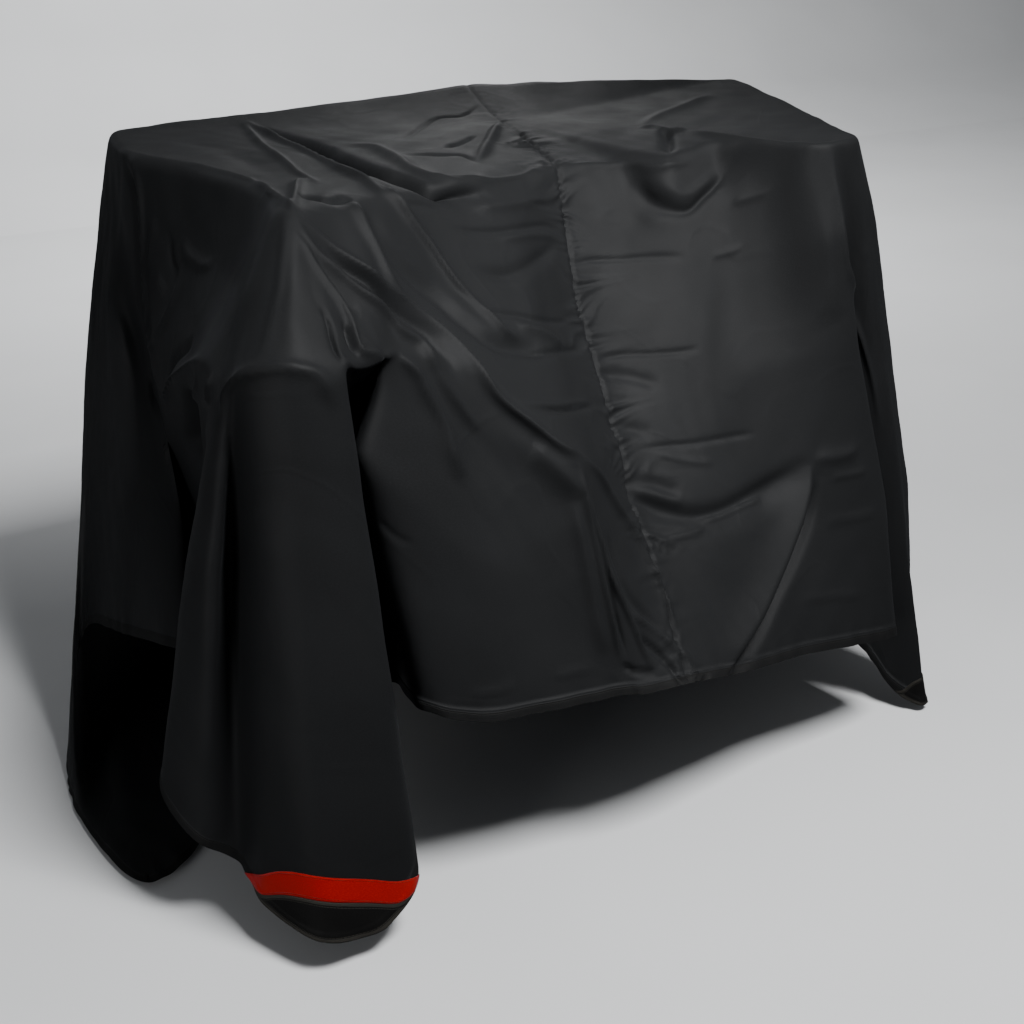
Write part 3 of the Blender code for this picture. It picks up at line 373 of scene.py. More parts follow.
@dataclass(frozen=True)
class FlatCloth:
    """The cloth as cut: half its width, how far it runs to the front and back, its round corners."""

    half: float = 1.60
    front: float = 1.20
    back: float = 1.80
    corner_round: float = 0.12

    @property
    def length(self) -> float:
        """Length of the cloth along its seam."""
        return self.front + self.back

    @property
    def around(self) -> float:
        """Length of the hem before its corners are rounded."""
        return 4 * self.half + 2 * self.length

    def hem_place(self, s: np.ndarray) -> Arrays:
        """Flat place of the hem, with each corner drawn in to its round along a line to the middle.

        Args:
            s: distance around the hem, clockwise from the front seam.

        Returns:
            The flat u and v at each distance.
        """
        s = np.asarray(s, float) % self.around
        half, length = self.half, self.length
        turns = (0, half, half + length, 3 * half + length, 3 * half + 2 * length, self.around)
        u = np.interp(s, turns, (0, -half, -half, half, half, 0))
        v = np.interp(s, turns, (-self.front, -self.front, self.back, self.back, -self.front, -self.front))
        reach = np.hypot(u, v)
        across, along = np.abs(u) / reach, np.abs(v) / reach
        centre_u = half - self.corner_round
        centre_v = np.where(v > 0, self.back, self.front) - self.corner_round
        middle = centre_u * across + centre_v * along
        rest = middle ** 2 - centre_u ** 2 - centre_v ** 2 + self.corner_round ** 2
        at_corner = (np.abs(u) > centre_u) & (np.abs(v) > centre_v)
        drawn = np.where(at_corner, (middle + np.sqrt(np.maximum(rest, 0))) / reach, 1.0)
        return u * drawn, v * drawn

    def distance_around(self, u: float, v: float) -> float:
        """Distance around the hem, clockwise from the front seam, of a place on its straight runs.

        Args:
            u: flat u of the place.
            v: flat v of the place.

        Returns:
            The distance.
        """
        if v == -self.front and u <= 0:
            return -u
        if u == -self.half:
            return self.half + v + self.front
        if v == self.back:
            return self.half + self.length + u + self.half
        if u == self.half:
            return 3 * self.half + self.length + self.back - v
        return self.around - u

    def rounded(self, u: np.ndarray, v: np.ndarray) -> Arrays:
        """Draws the square corners of a grid in to round ones.

        Inside each corner square, a place keeps its direction from the round's centre, and its
        distance becomes the longer of its two offsets, so the square fills the quarter disc.

        Args:
            u: flat u of the square-cornered grid.
            v: flat v of the square-cornered grid.

        Returns:
            The flat u and v of the round-cornered grid.
        """
        centre_u = np.sign(u) * (self.half - self.corner_round)
        centre_v = np.where(v > 0, self.back - self.corner_round, self.corner_round - self.front)
        du, dv = u - centre_u, v - centre_v
        outside = (np.abs(u) > self.half - self.corner_round) & ((dv > 0) == (v > 0)) & (np.abs(dv) > 0)
        share = np.maximum(np.abs(du), np.abs(dv)) / np.maximum(np.hypot(du, dv), 1e-9)
        share = np.where(outside, share, 1.0)
        return centre_u + du * share, centre_v + dv * share

    def hem_distance(self, u: np.ndarray, v: np.ndarray) -> np.ndarray:
        """Distance to the hem: to its nearest straight run, or in a corner to its round.

        Args:
            u: flat u.
            v: flat v.

        Returns:
            The distance from each flat place.
        """
        side = self.half - np.abs(u)
        end = np.minimum(v + self.front, self.back - v)
        r = self.corner_round
        in_corner = (side < r) & (end < r)
        return np.where(in_corner, r - np.hypot(r - side, r - end), np.minimum(side, end))

    def hem_run(self, u: np.ndarray, v: np.ndarray) -> np.ndarray:
        """Distance along the nearest straight run of the hem, for what repeats along it.

        Args:
            u: flat u.
            v: flat v.

        Returns:
            The distance at each flat place.
        """
        side = self.half - np.abs(u)
        end = np.minimum(v + self.front, self.back - v)
        return np.where(side < end, v, u)


@dataclass
class Drape:
    """Hangs the flat cloth on its folds.

    Inside the crown a flat place keeps its plan place, moved right by the seam's lean. Outside it,
    each fold is a straight line of the flat cloth from the crown's edge to the hem, and hangs
    through the places of its row in straight runs; between two rows the places follow cubic
    curves. The bends are then rounded by a Gauss mean over a grid and a cubic B-spline through it.
    """

    flat: FlatCloth
    folds: list[Fold]
    middle: Point = (0.0, 0.20, 1.235)
    seam_start: float = -0.14
    lean: float = 0.21
    grid_step: float = 0.0090
    margin: float = 0.10
    bend: float = 0.0085
    smooth_bend: float = 0.045
    smooth_across: tuple[float, float] = (0.05, 0.44)
    smooth_along: tuple[float, float] = (-1.00, -0.27)
    smooth_fade: float = 0.09
    crown_rise: float = 1.5
    samples: int = 1600
    halvings: int = 24
    slack: float = 0.02
    at: np.ndarray = field(init=False)
    hangs: np.ndarray = field(init=False)
    shares: np.ndarray = field(init=False)
    grid: np.ndarray = field(init=False)

    def __post_init__(self) -> None:
        """Reads the fold table and works out the rounded grid."""
        self.at = np.array([self.flat.distance_around(row.u, row.v) for row in self.folds])
        self.hangs = np.array([(r.crown, r.breast, r.shoulder, r.waist, r.hem) for r in self.folds], float)
        runs = np.linalg.norm(np.diff(self.hangs, axis=1), axis=2)
        shares = np.concatenate([np.zeros((len(self.folds), 1)), np.cumsum(runs, axis=1)], axis=1)
        self.shares = shares / shares[:, -1:]
        self.grid = self.rounded_grid()

    def crown(self, s: np.ndarray) -> tuple[np.ndarray, np.ndarray, np.ndarray]:
        """Place of the crown's edge, in straight runs from fold to fold.

        Args:
            s: distance around the hem.

        Returns:
            The hung places, and their flat u and v.
        """
        s = np.asarray(s, float) % self.flat.around
        at = np.append(self.at, self.flat.around)
        edge = np.concatenate([self.hangs[:, 0], self.hangs[:1, 0]])
        edge = np.stack([np.interp(s, at, edge[:, i]) for i in range(3)], axis=-1)
        return edge, edge[:, 0] - self.lean * np.maximum(edge[:, 1] - self.seam_start, 0), edge[:, 1]

    def between_folds(self, s: np.ndarray, values: np.ndarray) -> np.ndarray:
        """Values of the fold table by cubic Hermite curves, each slope a weighted mean of its sides.

        Args:
            s: distance around the hem.
            values: one entry for each fold.

        Returns:
            The values at each distance.
        """
        around = self.flat.around
        at = np.concatenate([self.at[-2:] - around, self.at, self.at[:3] + around])
        rows = np.concatenate([values[-2:], values, values[:3]])
        gaps = np.diff(at)
        wide = gaps.reshape((-1,) + (1,) * (rows.ndim - 1))
        slopes = np.diff(rows, axis=0) / wide
        tilt = np.zeros_like(rows)
        tilt[1:-1] = (slopes[:-1] * wide[1:] + slopes[1:] * wide[:-1]) / (wide[1:] + wide[:-1])
        i = np.clip(np.searchsorted(at, s, side="right") - 1, 1, len(at) - 3)
        x = ((s - at[i]) / gaps[i]).reshape(s.shape + (1,) * (rows.ndim - 1))
        gap = gaps[i].reshape(x.shape)
        near = (1 + 2 * x) * (1 - x) ** 2 * rows[i] + x * (1 - x) ** 2 * gap * tilt[i]
        far = x * x * (3 - 2 * x) * rows[i + 1] + x * x * (x - 1) * gap * tilt[i + 1]
        return near + far

    @staticmethod
    def down_the_fold(t: np.ndarray, shares: np.ndarray, places: np.ndarray) -> np.ndarray:
        """Place at a share of the way from crown to hem, on the straight runs of a fold.

        Args:
            t: share of the way down.
            shares: share of the way at each of the fold's places.
            places: the fold's places.

        Returns:
            The places on the runs.
        """
        out = np.zeros(t.shape + (3,))
        last = shares.shape[1] - 2
        for j in range(last + 1):
            low, high = shares[:, j], shares[:, j + 1]
            here = (t >= low if j else t > -np.inf) & (t < high if j < last else t < np.inf)
            x = ((t - low) / np.maximum(high - low, 1e-6))[:, None]
            out = np.where(here[:, None], places[:, j] + x * (places[:, j + 1] - places[:, j]), out)
        return out

    def turning(self, x: np.ndarray, y: np.ndarray) -> np.ndarray:
        """Angle of a flat place seen from the middle of the crown, clockwise from the front."""
        return -np.arctan2(x - self.middle[0], self.middle[1] - y)

    def skirt_lines(self, u: np.ndarray, v: np.ndarray) -> tuple[np.ndarray, np.ndarray, np.ndarray]:
        """Finds the fold line that holds each flat place, by halving between two first guesses.

        Args:
            u: flat u.
            v: flat v.

        Returns:
            The distance around of the crown's edge straight ahead, that of the fold line, and the
            share of the way down the line.
        """
        around = self.flat.around
        fine = np.linspace(0, around, self.samples, endpoint=False)
        angle = self.turning(u, v)
        found = []
        for x, y in (self.crown(fine)[1:], self.flat.hem_place(fine)):
            angles = np.maximum.accumulate(np.unwrap(self.turning(x, y)))
            wanted = angles[0] + (angle - angles[0]) % (2 * np.pi)
            found.append(np.interp(wanted, np.append(angles, angles[0] + 2 * np.pi), np.append(fine, around)))
        turn = (found[1] - found[0] + around / 2) % around - around / 2
        low = found[0] + np.minimum(turn, 0) - self.slack
        high = found[0] + np.maximum(turn, 0) + self.slack
        for _ in range(self.halvings):
            s = (low + high) / 2
            _, x, y = self.crown(s)
            hem_x, hem_y = self.flat.hem_place(s)
            side = (hem_x - x) * (v - y) - (hem_y - y) * (u - x)
            low, high = np.where(side < 0, s, low), np.where(side < 0, high, s)
        s = ((low + high) / 2) % around
        _, x, y = self.crown(s)
        hem_x, hem_y = self.flat.hem_place(s)
        reach = (hem_x - x) ** 2 + (hem_y - y) ** 2
        return found[0], s, ((u - x) * (hem_x - x) + (v - y) * (hem_y - y)) / reach

    def hang(self, u: np.ndarray, v: np.ndarray) -> np.ndarray:
        """Hung place of each flat place before its bends are rounded.

        Args:
            u: flat u.
            v: flat v.

        Returns:
            Places with Z measured from the floor.
        """
        ahead, s, t = self.skirt_lines(u, v)
        edge, x, y = self.crown(ahead)
        reach = np.hypot(x - self.middle[0], y - self.middle[1])
        share = np.hypot(u - self.middle[0], v - self.middle[1]) / np.maximum(reach, 1e-6)
        height = self.middle[2] + (edge[:, 2] - self.middle[2]) * share ** self.crown_rise
        top = np.stack([u + self.lean * np.maximum(v - self.seam_start, 0), v, height], axis=-1)
        places = self.between_folds(s, self.hangs)
        places[:, 0] = self.crown(s)[0]
        shares = self.between_folds(s, self.shares)
        shares[:, 0], shares[:, -1] = 0, 1
        skirt = self.down_the_fold(np.maximum(t, 0), shares, places)
        return np.where((share < 1)[:, None], top, skirt)

    def rounded_grid(self) -> np.ndarray:
        """Hung places on an even flat grid that runs past the hem, after a Gauss mean.

        The smooth front of the right panel has a second, wider mean across, in a soft window.

        Returns:
            The grid's places.
        """
        flat, step, margin = self.flat, self.grid_step, self.margin
        u = np.arange(-flat.half - margin, flat.half + margin + step, step)
        v = np.arange(-flat.front - margin, flat.back + margin + step, step)
        across, along = np.meshgrid(u, v, indexing="ij")
        places = self.hang(across.ravel(), along.ravel()).reshape(across.shape + (3,))
        for axis in (0, 1):
            places = self.gauss_mean(places, axis, self.bend)
        (left, right), (low, high), fade = self.smooth_across, self.smooth_along, self.smooth_fade
        window = np.clip(np.minimum(across - left, right - across) / fade, 0, 1)
        window = window * np.clip(np.minimum(along - low, high - along) / fade, 0, 1)
        window = (window * window * (3 - 2 * window))[..., None]
        return places + window * (self.gauss_mean(places, 0, self.smooth_bend) - places)

    def gauss_mean(self, places: np.ndarray, axis: int, bend: float) -> np.ndarray:
        """Mean of a grid's places along one axis, weighted by exp(-(distance / bend)^2 / 2).

        Args:
            places: the grid's places.
            axis: 0 for across, 1 for along.
            bend: half width of the weights, in metres.

        Returns:
            The mean places.
        """
        reach = int(math.ceil(3 * bend / self.grid_step))
        weights = np.exp(-.5 * (np.arange(-reach, reach + 1) * self.grid_step / bend) ** 2)
        weights /= weights.sum()
        ends = ((reach, reach), (0, 0), (0, 0)) if axis == 0 else ((0, 0), (reach, reach), (0, 0))
        padded = np.pad(places, ends, mode="reflect", reflect_type="odd")
        return sum(w * np.take(padded, np.arange(places.shape[axis]) + k, axis=axis)
                   for k, w in enumerate(weights))

    def places_and_facing(self, u: np.ndarray, v: np.ndarray) -> Arrays:
        """Hung places and the outward direction there: a cubic B-spline and its two slopes.

        Args:
            u: flat u, any shape.
            v: flat v, same shape.

        Returns:
            Places and unit directions, each of that shape with a last axis of three.
        """
        x = (u + self.flat.half + self.margin) / self.grid_step
        y = (v + self.flat.front + self.margin) / self.grid_step
        i = np.clip(np.floor(x).astype(int), 1, self.grid.shape[0] - 3)
        j = np.clip(np.floor(y).astype(int), 1, self.grid.shape[1] - 3)
        ws, dws = self.spline_weights(x - i)
        wt, dwt = self.spline_weights(y - j)
        place = across = along = 0
        for a in range(4):
            for b in range(4):
                knot = self.grid[i + a - 1, j + b - 1]
                place = place + (ws[a] * wt[b])[..., None] * knot
                across = across + (dws[a] * wt[b])[..., None] * knot
                along = along + (ws[a] * dwt[b])[..., None] * knot
        out = np.cross(across, along)
        return place, out / np.maximum(np.linalg.norm(out, axis=-1, keepdims=True), 1e-12)

    @staticmethod
    def spline_weights(x: np.ndarray) -> tuple[list[np.ndarray], list[np.ndarray]]:
        """Weights of a cubic B-spline's four knots, and their slopes.

        Args:
            x: share of the way from the second knot to the third.

        Returns:
            The four weights and the four slopes.
        """
        weights = [(1 - x) ** 3 / 6, (3 * x ** 3 - 6 * x ** 2 + 4) / 6,
                   (-3 * x ** 3 + 3 * x ** 2 + 3 * x + 1) / 6, x ** 3 / 6]
        slopes = [-(1 - x) ** 2 / 2, (3 * x ** 2 - 4 * x) / 2, (-3 * x ** 2 + 2 * x + 1) / 2, x ** 2 / 2]
        return weights, slopes


def wave(x: np.ndarray, length: float, phase: float | np.ndarray = 0.0) -> np.ndarray:
    """Sine of x that repeats after a length."""
    return np.sin(2 * np.pi * x / length + phase)


@dataclass(frozen=True)
class Relief:
    """What stands out of the folds: creases, seam puckers, soft unevenness and the hem's step."""

    flat: FlatCloth
    creases: list[Crease]
    crest_round: float = 0.0032
    crisp_share: float = 0.6
    end_fade: float = 0.22
    end_share: float = 0.12
    pucker_height: float = 0.0066
    pucker_reach: float = 0.060
    short_pitch: float = 0.0245
    long_pitch: float = 0.0470
    long_starts: float = 0.008
    ridge_mean: float = 0.36
    back_start: float = 0.12
    back_fade: float = 0.05
    groove_depth: float = 0.0040
    groove_reach: float = 0.006
    hem_width: float = 0.0155
    hem_step: float = 0.0012
    hem_blend: float = 0.0008
    hem_wave: float = 0.0016
    hem_wave_reach: float = 0.030
    unevenness: float = 0.0007

    @staticmethod
    def along_path(u: np.ndarray, v: np.ndarray,
                   path: np.ndarray) -> tuple[np.ndarray, np.ndarray, np.ndarray]:
        """Finds how each flat place lies to a path of short straight parts.

        Args:
            u: flat u.
            v: flat v.
            path: places of the path, one row each.

        Returns:
            The distance to the path, how far along it that is (0 to 1), and how far to its right
            side the place lies (-1 to 1).
        """
        steps = np.linalg.norm(np.diff(path, axis=0), axis=1)
        ends = np.concatenate([[0], np.cumsum(steps)])
        nearest = np.full(u.shape, np.inf)
        along = np.zeros_like(u)
        right = np.zeros_like(u)
        for a, b, start, length in zip(path[:-1], path[1:], ends, steps):
            across, down = u - a[0], v - a[1]
            x = np.clip((across * (b[0] - a[0]) + down * (b[1] - a[1])) / length ** 2, 0, 1)
            away = np.hypot(across - x * (b[0] - a[0]), down - x * (b[1] - a[1]))
            side = (across * (b[1] - a[1]) - down * (b[0] - a[0])) / (length * np.maximum(away, 1e-6))
            closer = away < nearest
            along = np.where(closer, start + x * length, along)
            right = np.where(closer, side, right)
            nearest = np.minimum(away, nearest)
        return nearest, along / ends[-1], right

    @staticmethod
    def smooth_path(path: tuple[tuple[float, float], ...], parts: int = 5) -> np.ndarray:
        """A Catmull-Rom curve through the places of a path, in short straight parts.

        Args:
            path: the flat places.
            parts: straight parts between two places.

        Returns:
            The places along the curve, one row each.
        """
        knots = np.array(path)
        knots = np.concatenate([2 * knots[:1] - knots[1:2], knots, 2 * knots[-1:] - knots[-2:-1]])
        x = np.linspace(0, 1, parts, endpoint=False)[:, None]
        pieces = []
        for p0, p1, p2, p3 in zip(knots[:-3], knots[1:-2], knots[2:-1], knots[3:]):
            pieces.append(.5 * (2 * p1 + (p2 - p0) * x + (2 * p0 - 5 * p1 + 4 * p2 - p3) * x ** 2
                                + (3 * p1 - p0 - 3 * p2 + p3) * x ** 3))
        return np.concatenate(pieces + [knots[-2:-1]])

    def crease_height(self, u: np.ndarray, v: np.ndarray) -> np.ndarray:
        """Sum of all creases: exp(-(d / w)^2), or nearer exp(-d / w) where sharp, faded at the ends.

        Args:
            u: flat u.
            v: flat v.

        Returns:
            The height at each flat place.
        """
        total = np.zeros_like(u)
        for crease in self.creases:
            path = self.smooth_path(crease.path)
            reach = 4 * crease.width * math.exp(abs(crease.steep))
            low, high = path.min(axis=0) - reach, path.max(axis=0) + reach
            near = (u > low[0]) & (u < high[0]) & (v > low[1]) & (v < high[1])
            if not near.any():
                continue
            away, along, right = self.along_path(u[near], v[near], path)
            fade = np.sin(np.clip(np.minimum(along, 1 - along) / self.end_fade, 0, 1) * np.pi / 2)
            level = self.end_share + (1 - self.end_share) * fade
            width = crease.width * np.exp(-crease.steep * right)
            soft = np.exp(-(away / width) ** 2)
            rounded = np.hypot(away, self.crest_round) - self.crest_round
            crisp = np.exp(-rounded / (self.crisp_share * width))
            total[near] += crease.height * level * (crease.sharp * crisp + (1 - crease.sharp) * soft)
        return total

    def seam_height(self, u: np.ndarray, v: np.ndarray) -> np.ndarray:
        """Groove along the seam, and the puckers that its stitching draws up on both sides.

        The puckers are ridges 1 - |sin| of v. The short ones cross the seam, the long ones start
        beside it, each side in its own way. Their phase drifts, they lean as they leave the
        seam, and their strength and reach come and go. Both fade on the back of the crown.

        Args:
            u: flat u.
            v: flat v.

        Returns:
            The height at each flat place.
        """
        away = np.abs(u)
        side = np.where(u < 0, 0.0, 1.9)
        lean = .45 * wave(v, .29, side) + .3 * wave(v, .113, 2 * side)
        run = v + lean * away
        drift = 1.9 * wave(run, .211) + 1.3 * wave(run, .087)
        short = 1 - np.abs(np.sin(np.pi * run / self.short_pitch + drift))
        long = 1 - np.abs(np.sin(np.pi * run / self.long_pitch - drift + .7 * side))
        comes = np.clip(.75 + .4 * wave(v, .237, 1) + .3 * wave(v, .067), .3, 1.3)
        level = 1 / (1 + np.exp((v - self.back_start) / self.back_fade))
        reach = self.pucker_reach * (.75 + .4 * wave(v, .131, side))
        beside = 1 - np.exp(-(away / self.long_starts) ** 2)
        puckers = (short - self.ridge_mean) * np.exp(-(away / (.40 * reach)) ** 1.2)
        puckers += 1.1 * beside * (long - self.ridge_mean) * np.exp(-(away / reach) ** 1.6)
        groove = self.groove_depth * (.4 + .6 * level) * np.exp(-(away / self.groove_reach) ** 2)
        return self.pucker_height * (.25 + .75 * level) * comes * puckers - groove

    def uneven_height(self, u: np.ndarray, v: np.ndarray) -> np.ndarray:
        """Soft unevenness of lain and packed cloth: a few crossed sines with bent arguments.

        Args:
            u: flat u.
            v: flat v.

        Returns:
            The height at each flat place.
        """
        bend = .05 * np.sin(7.1 * v + 2.3 * u) + .04 * np.sin(9.7 * u - 1.3)
        waves = (wave(u + bend, .31) * wave(v - bend, .27)
                 + .6 * wave(.8 * u + .6 * v + bend, .173)
                 + .45 * wave(.5 * u - .87 * v - 1.6 * bend, .117)
                 + .25 * wave(.95 * u + .3 * v + 2 * bend, .071))
        return self.unevenness * waves

    def hem_height(self, u: np.ndarray, v: np.ndarray) -> np.ndarray:
        """Step of the folded hem, and the slight waves that its stitching draws it into.

        Args:
            u: flat u.
            v: flat v.

        Returns:
            The height at each flat place.
        """
        edge = self.flat.hem_distance(u, v)
        run = self.flat.hem_run(u, v)
        step = self.hem_step / (1 + np.exp((edge - self.hem_width) / self.hem_blend))
        waves = wave(run, .083, 1.7 * wave(run, .31)) * np.exp(-(edge / self.hem_wave_reach) ** 2)
        return step + self.hem_wave * waves

    def height(self, u: np.ndarray, v: np.ndarray) -> np.ndarray:
        """Everything that stands out of the folds at each flat place."""
        sewn = self.seam_height(u, v) + self.hem_height(u, v)
        return self.crease_height(u, v) + sewn + self.uneven_height(u, v)


@dataclass
class Cloth:
    """The hung cloth with its relief, which every sewn piece takes its places from."""

    flat: FlatCloth
    drape: Drape
    relief: Relief
    floor: float = -REST_HEIGHT
    floor_clear: float = 0.002
    floor_ease: float = 0.006

    def places(self, u: np.ndarray, v: np.ndarray, lift: float = 0.0) -> np.ndarray:
        """Finished places: the hung place moved out by the relief and the lift, kept off the floor.

        Near the floor the height flattens out as an exponential, so nothing dips through it.

        Args:
            u: flat u, any shape.
            v: flat v, same shape.
            lift: distance off the cloth's face.

        Returns:
            Places with Z measured from the mount under the crown.
        """
        place, out = self.drape.places_and_facing(u, v)
        place = place + (self.relief.height(u, v) + lift)[..., None] * out
        place[..., 2] -= REST_HEIGHT
        lowest = self.floor + self.floor_clear + lift
        depth = place[..., 2] - lowest
        eased = self.floor_ease * (1 + np.exp(np.minimum(depth / self.floor_ease - 2, 0)))
        place[..., 2] = lowest + np.where(depth < 2 * self.floor_ease, eased, depth)
        return place


class NodeGraph:
    """Short hand for building a material's nodes.

    A Mix node's colour sockets go by number, because its other sockets have the same names.
    """

    MIX_COLORS = (6, 7)
    MIX_RESULT = 2

    def __init__(self, name: str) -> None:
        """Starts a material with a Principled shader.

        Args:
            name: the material's name.
        """
        self.material = bpy.data.materials.new(name)
        self.material.use_nodes = True
        self.tree = self.material.node_tree
        self.shader = self.tree.nodes["Principled BSDF"]

    def node(self, kind: str, **values: object) -> bpy.types.Node:
        """Adds a node.

        Args:
            kind: the node's type.
            values: its properties.

        Returns:
            The node.
        """
        made = self.tree.nodes.new(kind)
        for name, value in values.items():
            setattr(made, name, value)
        return made

    def link(self, source: Socket, target: Socket) -> None:
        """Joins two sockets."""
        self.tree.links.new(source, target)

    def math(self, operation: str, *inputs: object) -> Socket:
        """A Math node.

        Args:
            operation: what it does.
            inputs: numbers or sockets.

        Returns:
            The socket of its result.
        """
        made = self.node("ShaderNodeMath", operation=operation)
        for socket, value in zip(made.inputs, inputs):
            if isinstance(value, Socket):
                self.link(value, socket)
            else:
                socket.default_value = value
        return made.outputs[0]

    def ramp(self, value: Socket, low: float, high: float, start: float = 0.0,
             end: float = 1.0) -> Socket:
        """Smooth step of a value.

        Args:
            value: the value.
            low: where the step begins.
            high: where it ends.
            start: the result up to low.
            end: the result from high on.

        Returns:
            The socket of the result.
        """
        made = self.node("ShaderNodeMapRange", interpolation_type="SMOOTHSTEP")
        self.link(value, made.inputs["Value"])
        made.inputs["From Min"].default_value = low
        made.inputs["From Max"].default_value = high
        made.inputs["To Min"].default_value = start
        made.inputs["To Max"].default_value = end
        return made.outputs["Result"]

    def noise(self, vector: Socket, size: float, detail: float = 2.0,
              rough: float = 0.5) -> Socket:
        """Soft noise.

        Args:
            vector: where it is read.
            size: the width of its features, in metres.
            detail: how many finer layers it has.
            rough: how strong the finer layers are.

        Returns:
            The socket of the noise, about 0 to 1.
        """
        made = self.node("ShaderNodeTexNoise")
        self.link(vector, made.inputs["Vector"])
        made.inputs["Scale"].default_value = 1 / size
        made.inputs["Detail"].default_value = detail
        made.inputs["Roughness"].default_value = rough
        return made.outputs["Fac"]

    def blend(self, share: Socket, first: object, second: object) -> Socket:
        """Mix of two colours.

        Args:
            share: how much of the second colour.
            first: a colour or a socket.
            second: a colour or a socket.

        Returns:
            The socket of the mix.
        """
        made = self.node("ShaderNodeMix", data_type="RGBA")
        self.link(share, made.inputs["Factor"])
        for number, value in zip(self.MIX_COLORS, (first, second)):
            if isinstance(value, Socket):
                self.link(value, made.inputs[number])
            else:
                made.inputs[number].default_value = (*value, 1.0)
        return made.outputs[self.MIX_RESULT]

    def bump(self, height: Socket, distance: float, strength: float = 1.0,
             under: Socket | None = None) -> Socket:
        """A Bump node.

        Args:
            height: the height's socket.
            distance: the metres that a height of one stands for.
            strength: its strength.
            under: the normal that it is laid over, if any.

        Returns:
            The socket of the normal.
        """
        made = self.node("ShaderNodeBump")
        made.inputs["Distance"].default_value = distance
        made.inputs["Strength"].default_value = strength
        self.link(height, made.inputs["Height"])
        if under is not None:
            self.link(under, made.inputs["Normal"])
        return made.outputs["Normal"]


@dataclass(frozen=True)
class ClothFinish:
    """Smooth woven polyester with a satin sheen, and its hem and stitches.

    A noise is the width of its features in metres, how many finer layers it has and how strong
    they are. A fade is the two values between which something sets in and, where they are given,
    its strengths there. A lift is how much brighter the brightest places are. A bump is its
    height in metres and its strength. The hem's edge fades over hem_soft to each side, and
    rub_change is how far the roughness goes below and above its middle.
    """

    name: str
    color: Color
    hem_color: Color
    thread_color: Color
    rough: float = 0.47
    sheen: float = 0.02
    specular: float = 0.10
    sheen_rough: float = 0.35
    sheen_color: Color = (.85, .9, 1.0)
    weave: float = 0.0011
    weave_bump: tuple[float, float] = (.00012, .5)
    hem_width: float = 0.0155
    hem_soft: float = 0.0006
    hem_rough: float = 0.12
    hem_bump: tuple[float, float] = (.0008, .8)
    stitch_at: float = 0.0132
    stitch_length: float = 0.0019
    stitch_fade: tuple[float, float] = (.0009, .0005)
    stitch_gap: tuple[float, float] = (.0003, .0006)
    stitch_depth: float = 0.9
    cloud_noise: tuple[float, ...] = (.35, 3.0)
    cloud_fade: tuple[float, ...] = (.3, .75, 0, .5)
    cloud_lift: float = 1.45
    fleck_noise: tuple[float, ...] = (.0024, 2.0, .7)
    fleck_fade: tuple[float, ...] = (.35, .8, 0, .35)
    fleck_lift: float = 1.9
    rub_noise: tuple[float, ...] = (.12, 4.0)
    rub_fade: tuple[float, float] = (.25, .8)
    rub_change: tuple[float, float] = (-.05, .08)
    cockle_noise: tuple[float, ...] = (.055, 5.0, .62)
    cockle_bump: tuple[float, float] = (.0035, .22)
    mark_noise: tuple[float, ...] = (.21, 1.5, .4)
    mark_fade: tuple[float, ...] = (.0, .03, 1, 0)
    mark_bump: tuple[float, float] = (.0016, .16)

    def material(self) -> bpy.types.Material:
        """Builds the material: colour, roughness and bump follow the flat cloth's UV map.

        The hem and its stitches follow the distance to the edge and the run along it.

        Returns:
            The finished material.
        """
        g = NodeGraph(self.name)
        flat = g.node("ShaderNodeUVMap", uv_map="flat").outputs["UV"]
        edge = g.node("ShaderNodeAttribute", attribute_name="edge").outputs["Fac"]
        run = g.node("ShaderNodeAttribute", attribute_name="run").outputs["Fac"]
        hem = g.ramp(edge, self.hem_width + self.hem_soft, self.hem_width - self.hem_soft)
        line = g.ramp(g.math("ABSOLUTE", g.math("SUBTRACT", edge, self.stitch_at)), *self.stitch_fade)
        dash = g.ramp(g.math("PINGPONG", run, self.stitch_length), *self.stitch_gap)
        stitch = g.math("MULTIPLY", line, dash)

        g.link(self.base_color(g, flat, hem, stitch), g.shader.inputs["Base Color"])
        g.link(self.roughness(g, flat, hem), g.shader.inputs["Roughness"])
        g.link(self.normal(g, flat, hem, line), g.shader.inputs["Normal"])
        g.shader.inputs["Specular IOR Level"].default_value = self.specular
        g.shader.inputs["Sheen Weight"].default_value = self.sheen
        g.shader.inputs["Sheen Roughness"].default_value = self.sheen_rough
        g.shader.inputs["Sheen Tint"].default_value = (*self.sheen_color, 1.0)
        return g.material

    def base_color(self, g: NodeGraph, flat: Socket, hem: Socket, stitch: Socket) -> Socket:
        """The cloth's colour, brighter in soft clouds and fine flecks, then the hem and its thread.

        Args:
            g: the material's nodes.
            flat: socket of the flat place.
            hem: socket that is one on the hem.
            stitch: socket that is one on each stitch.

        Returns:
            The socket of the colour.
        """
        cloudy = g.ramp(g.noise(flat, *self.cloud_noise), *self.cloud_fade)
        color = g.blend(cloudy, self.color, tuple(self.cloud_lift * c for c in self.color))
        flecks = g.ramp(g.noise(flat, *self.fleck_noise), *self.fleck_fade)
        color = g.blend(flecks, color, tuple(self.fleck_lift * c for c in self.color))
        color = g.blend(hem, color, self.hem_color)
        return g.blend(stitch, color, self.thread_color)

    def roughness(self, g: NodeGraph, flat: Socket, hem: Socket) -> Socket:
        """Satin, smoother and rougher in places, and rougher still on the hem.

        Args:
            g: the material's nodes.
            flat: socket of the flat place.
            hem: socket that is one on the hem.

        Returns:
            The socket of the roughness.
        """
        smoothest, roughest = (self.rough + change for change in self.rub_change)
        rough = g.ramp(g.noise(flat, *self.rub_noise), *self.rub_fade, smoothest, roughest)
        return g.math("ADD", rough, g.math("MULTIPLY", hem, self.hem_rough))

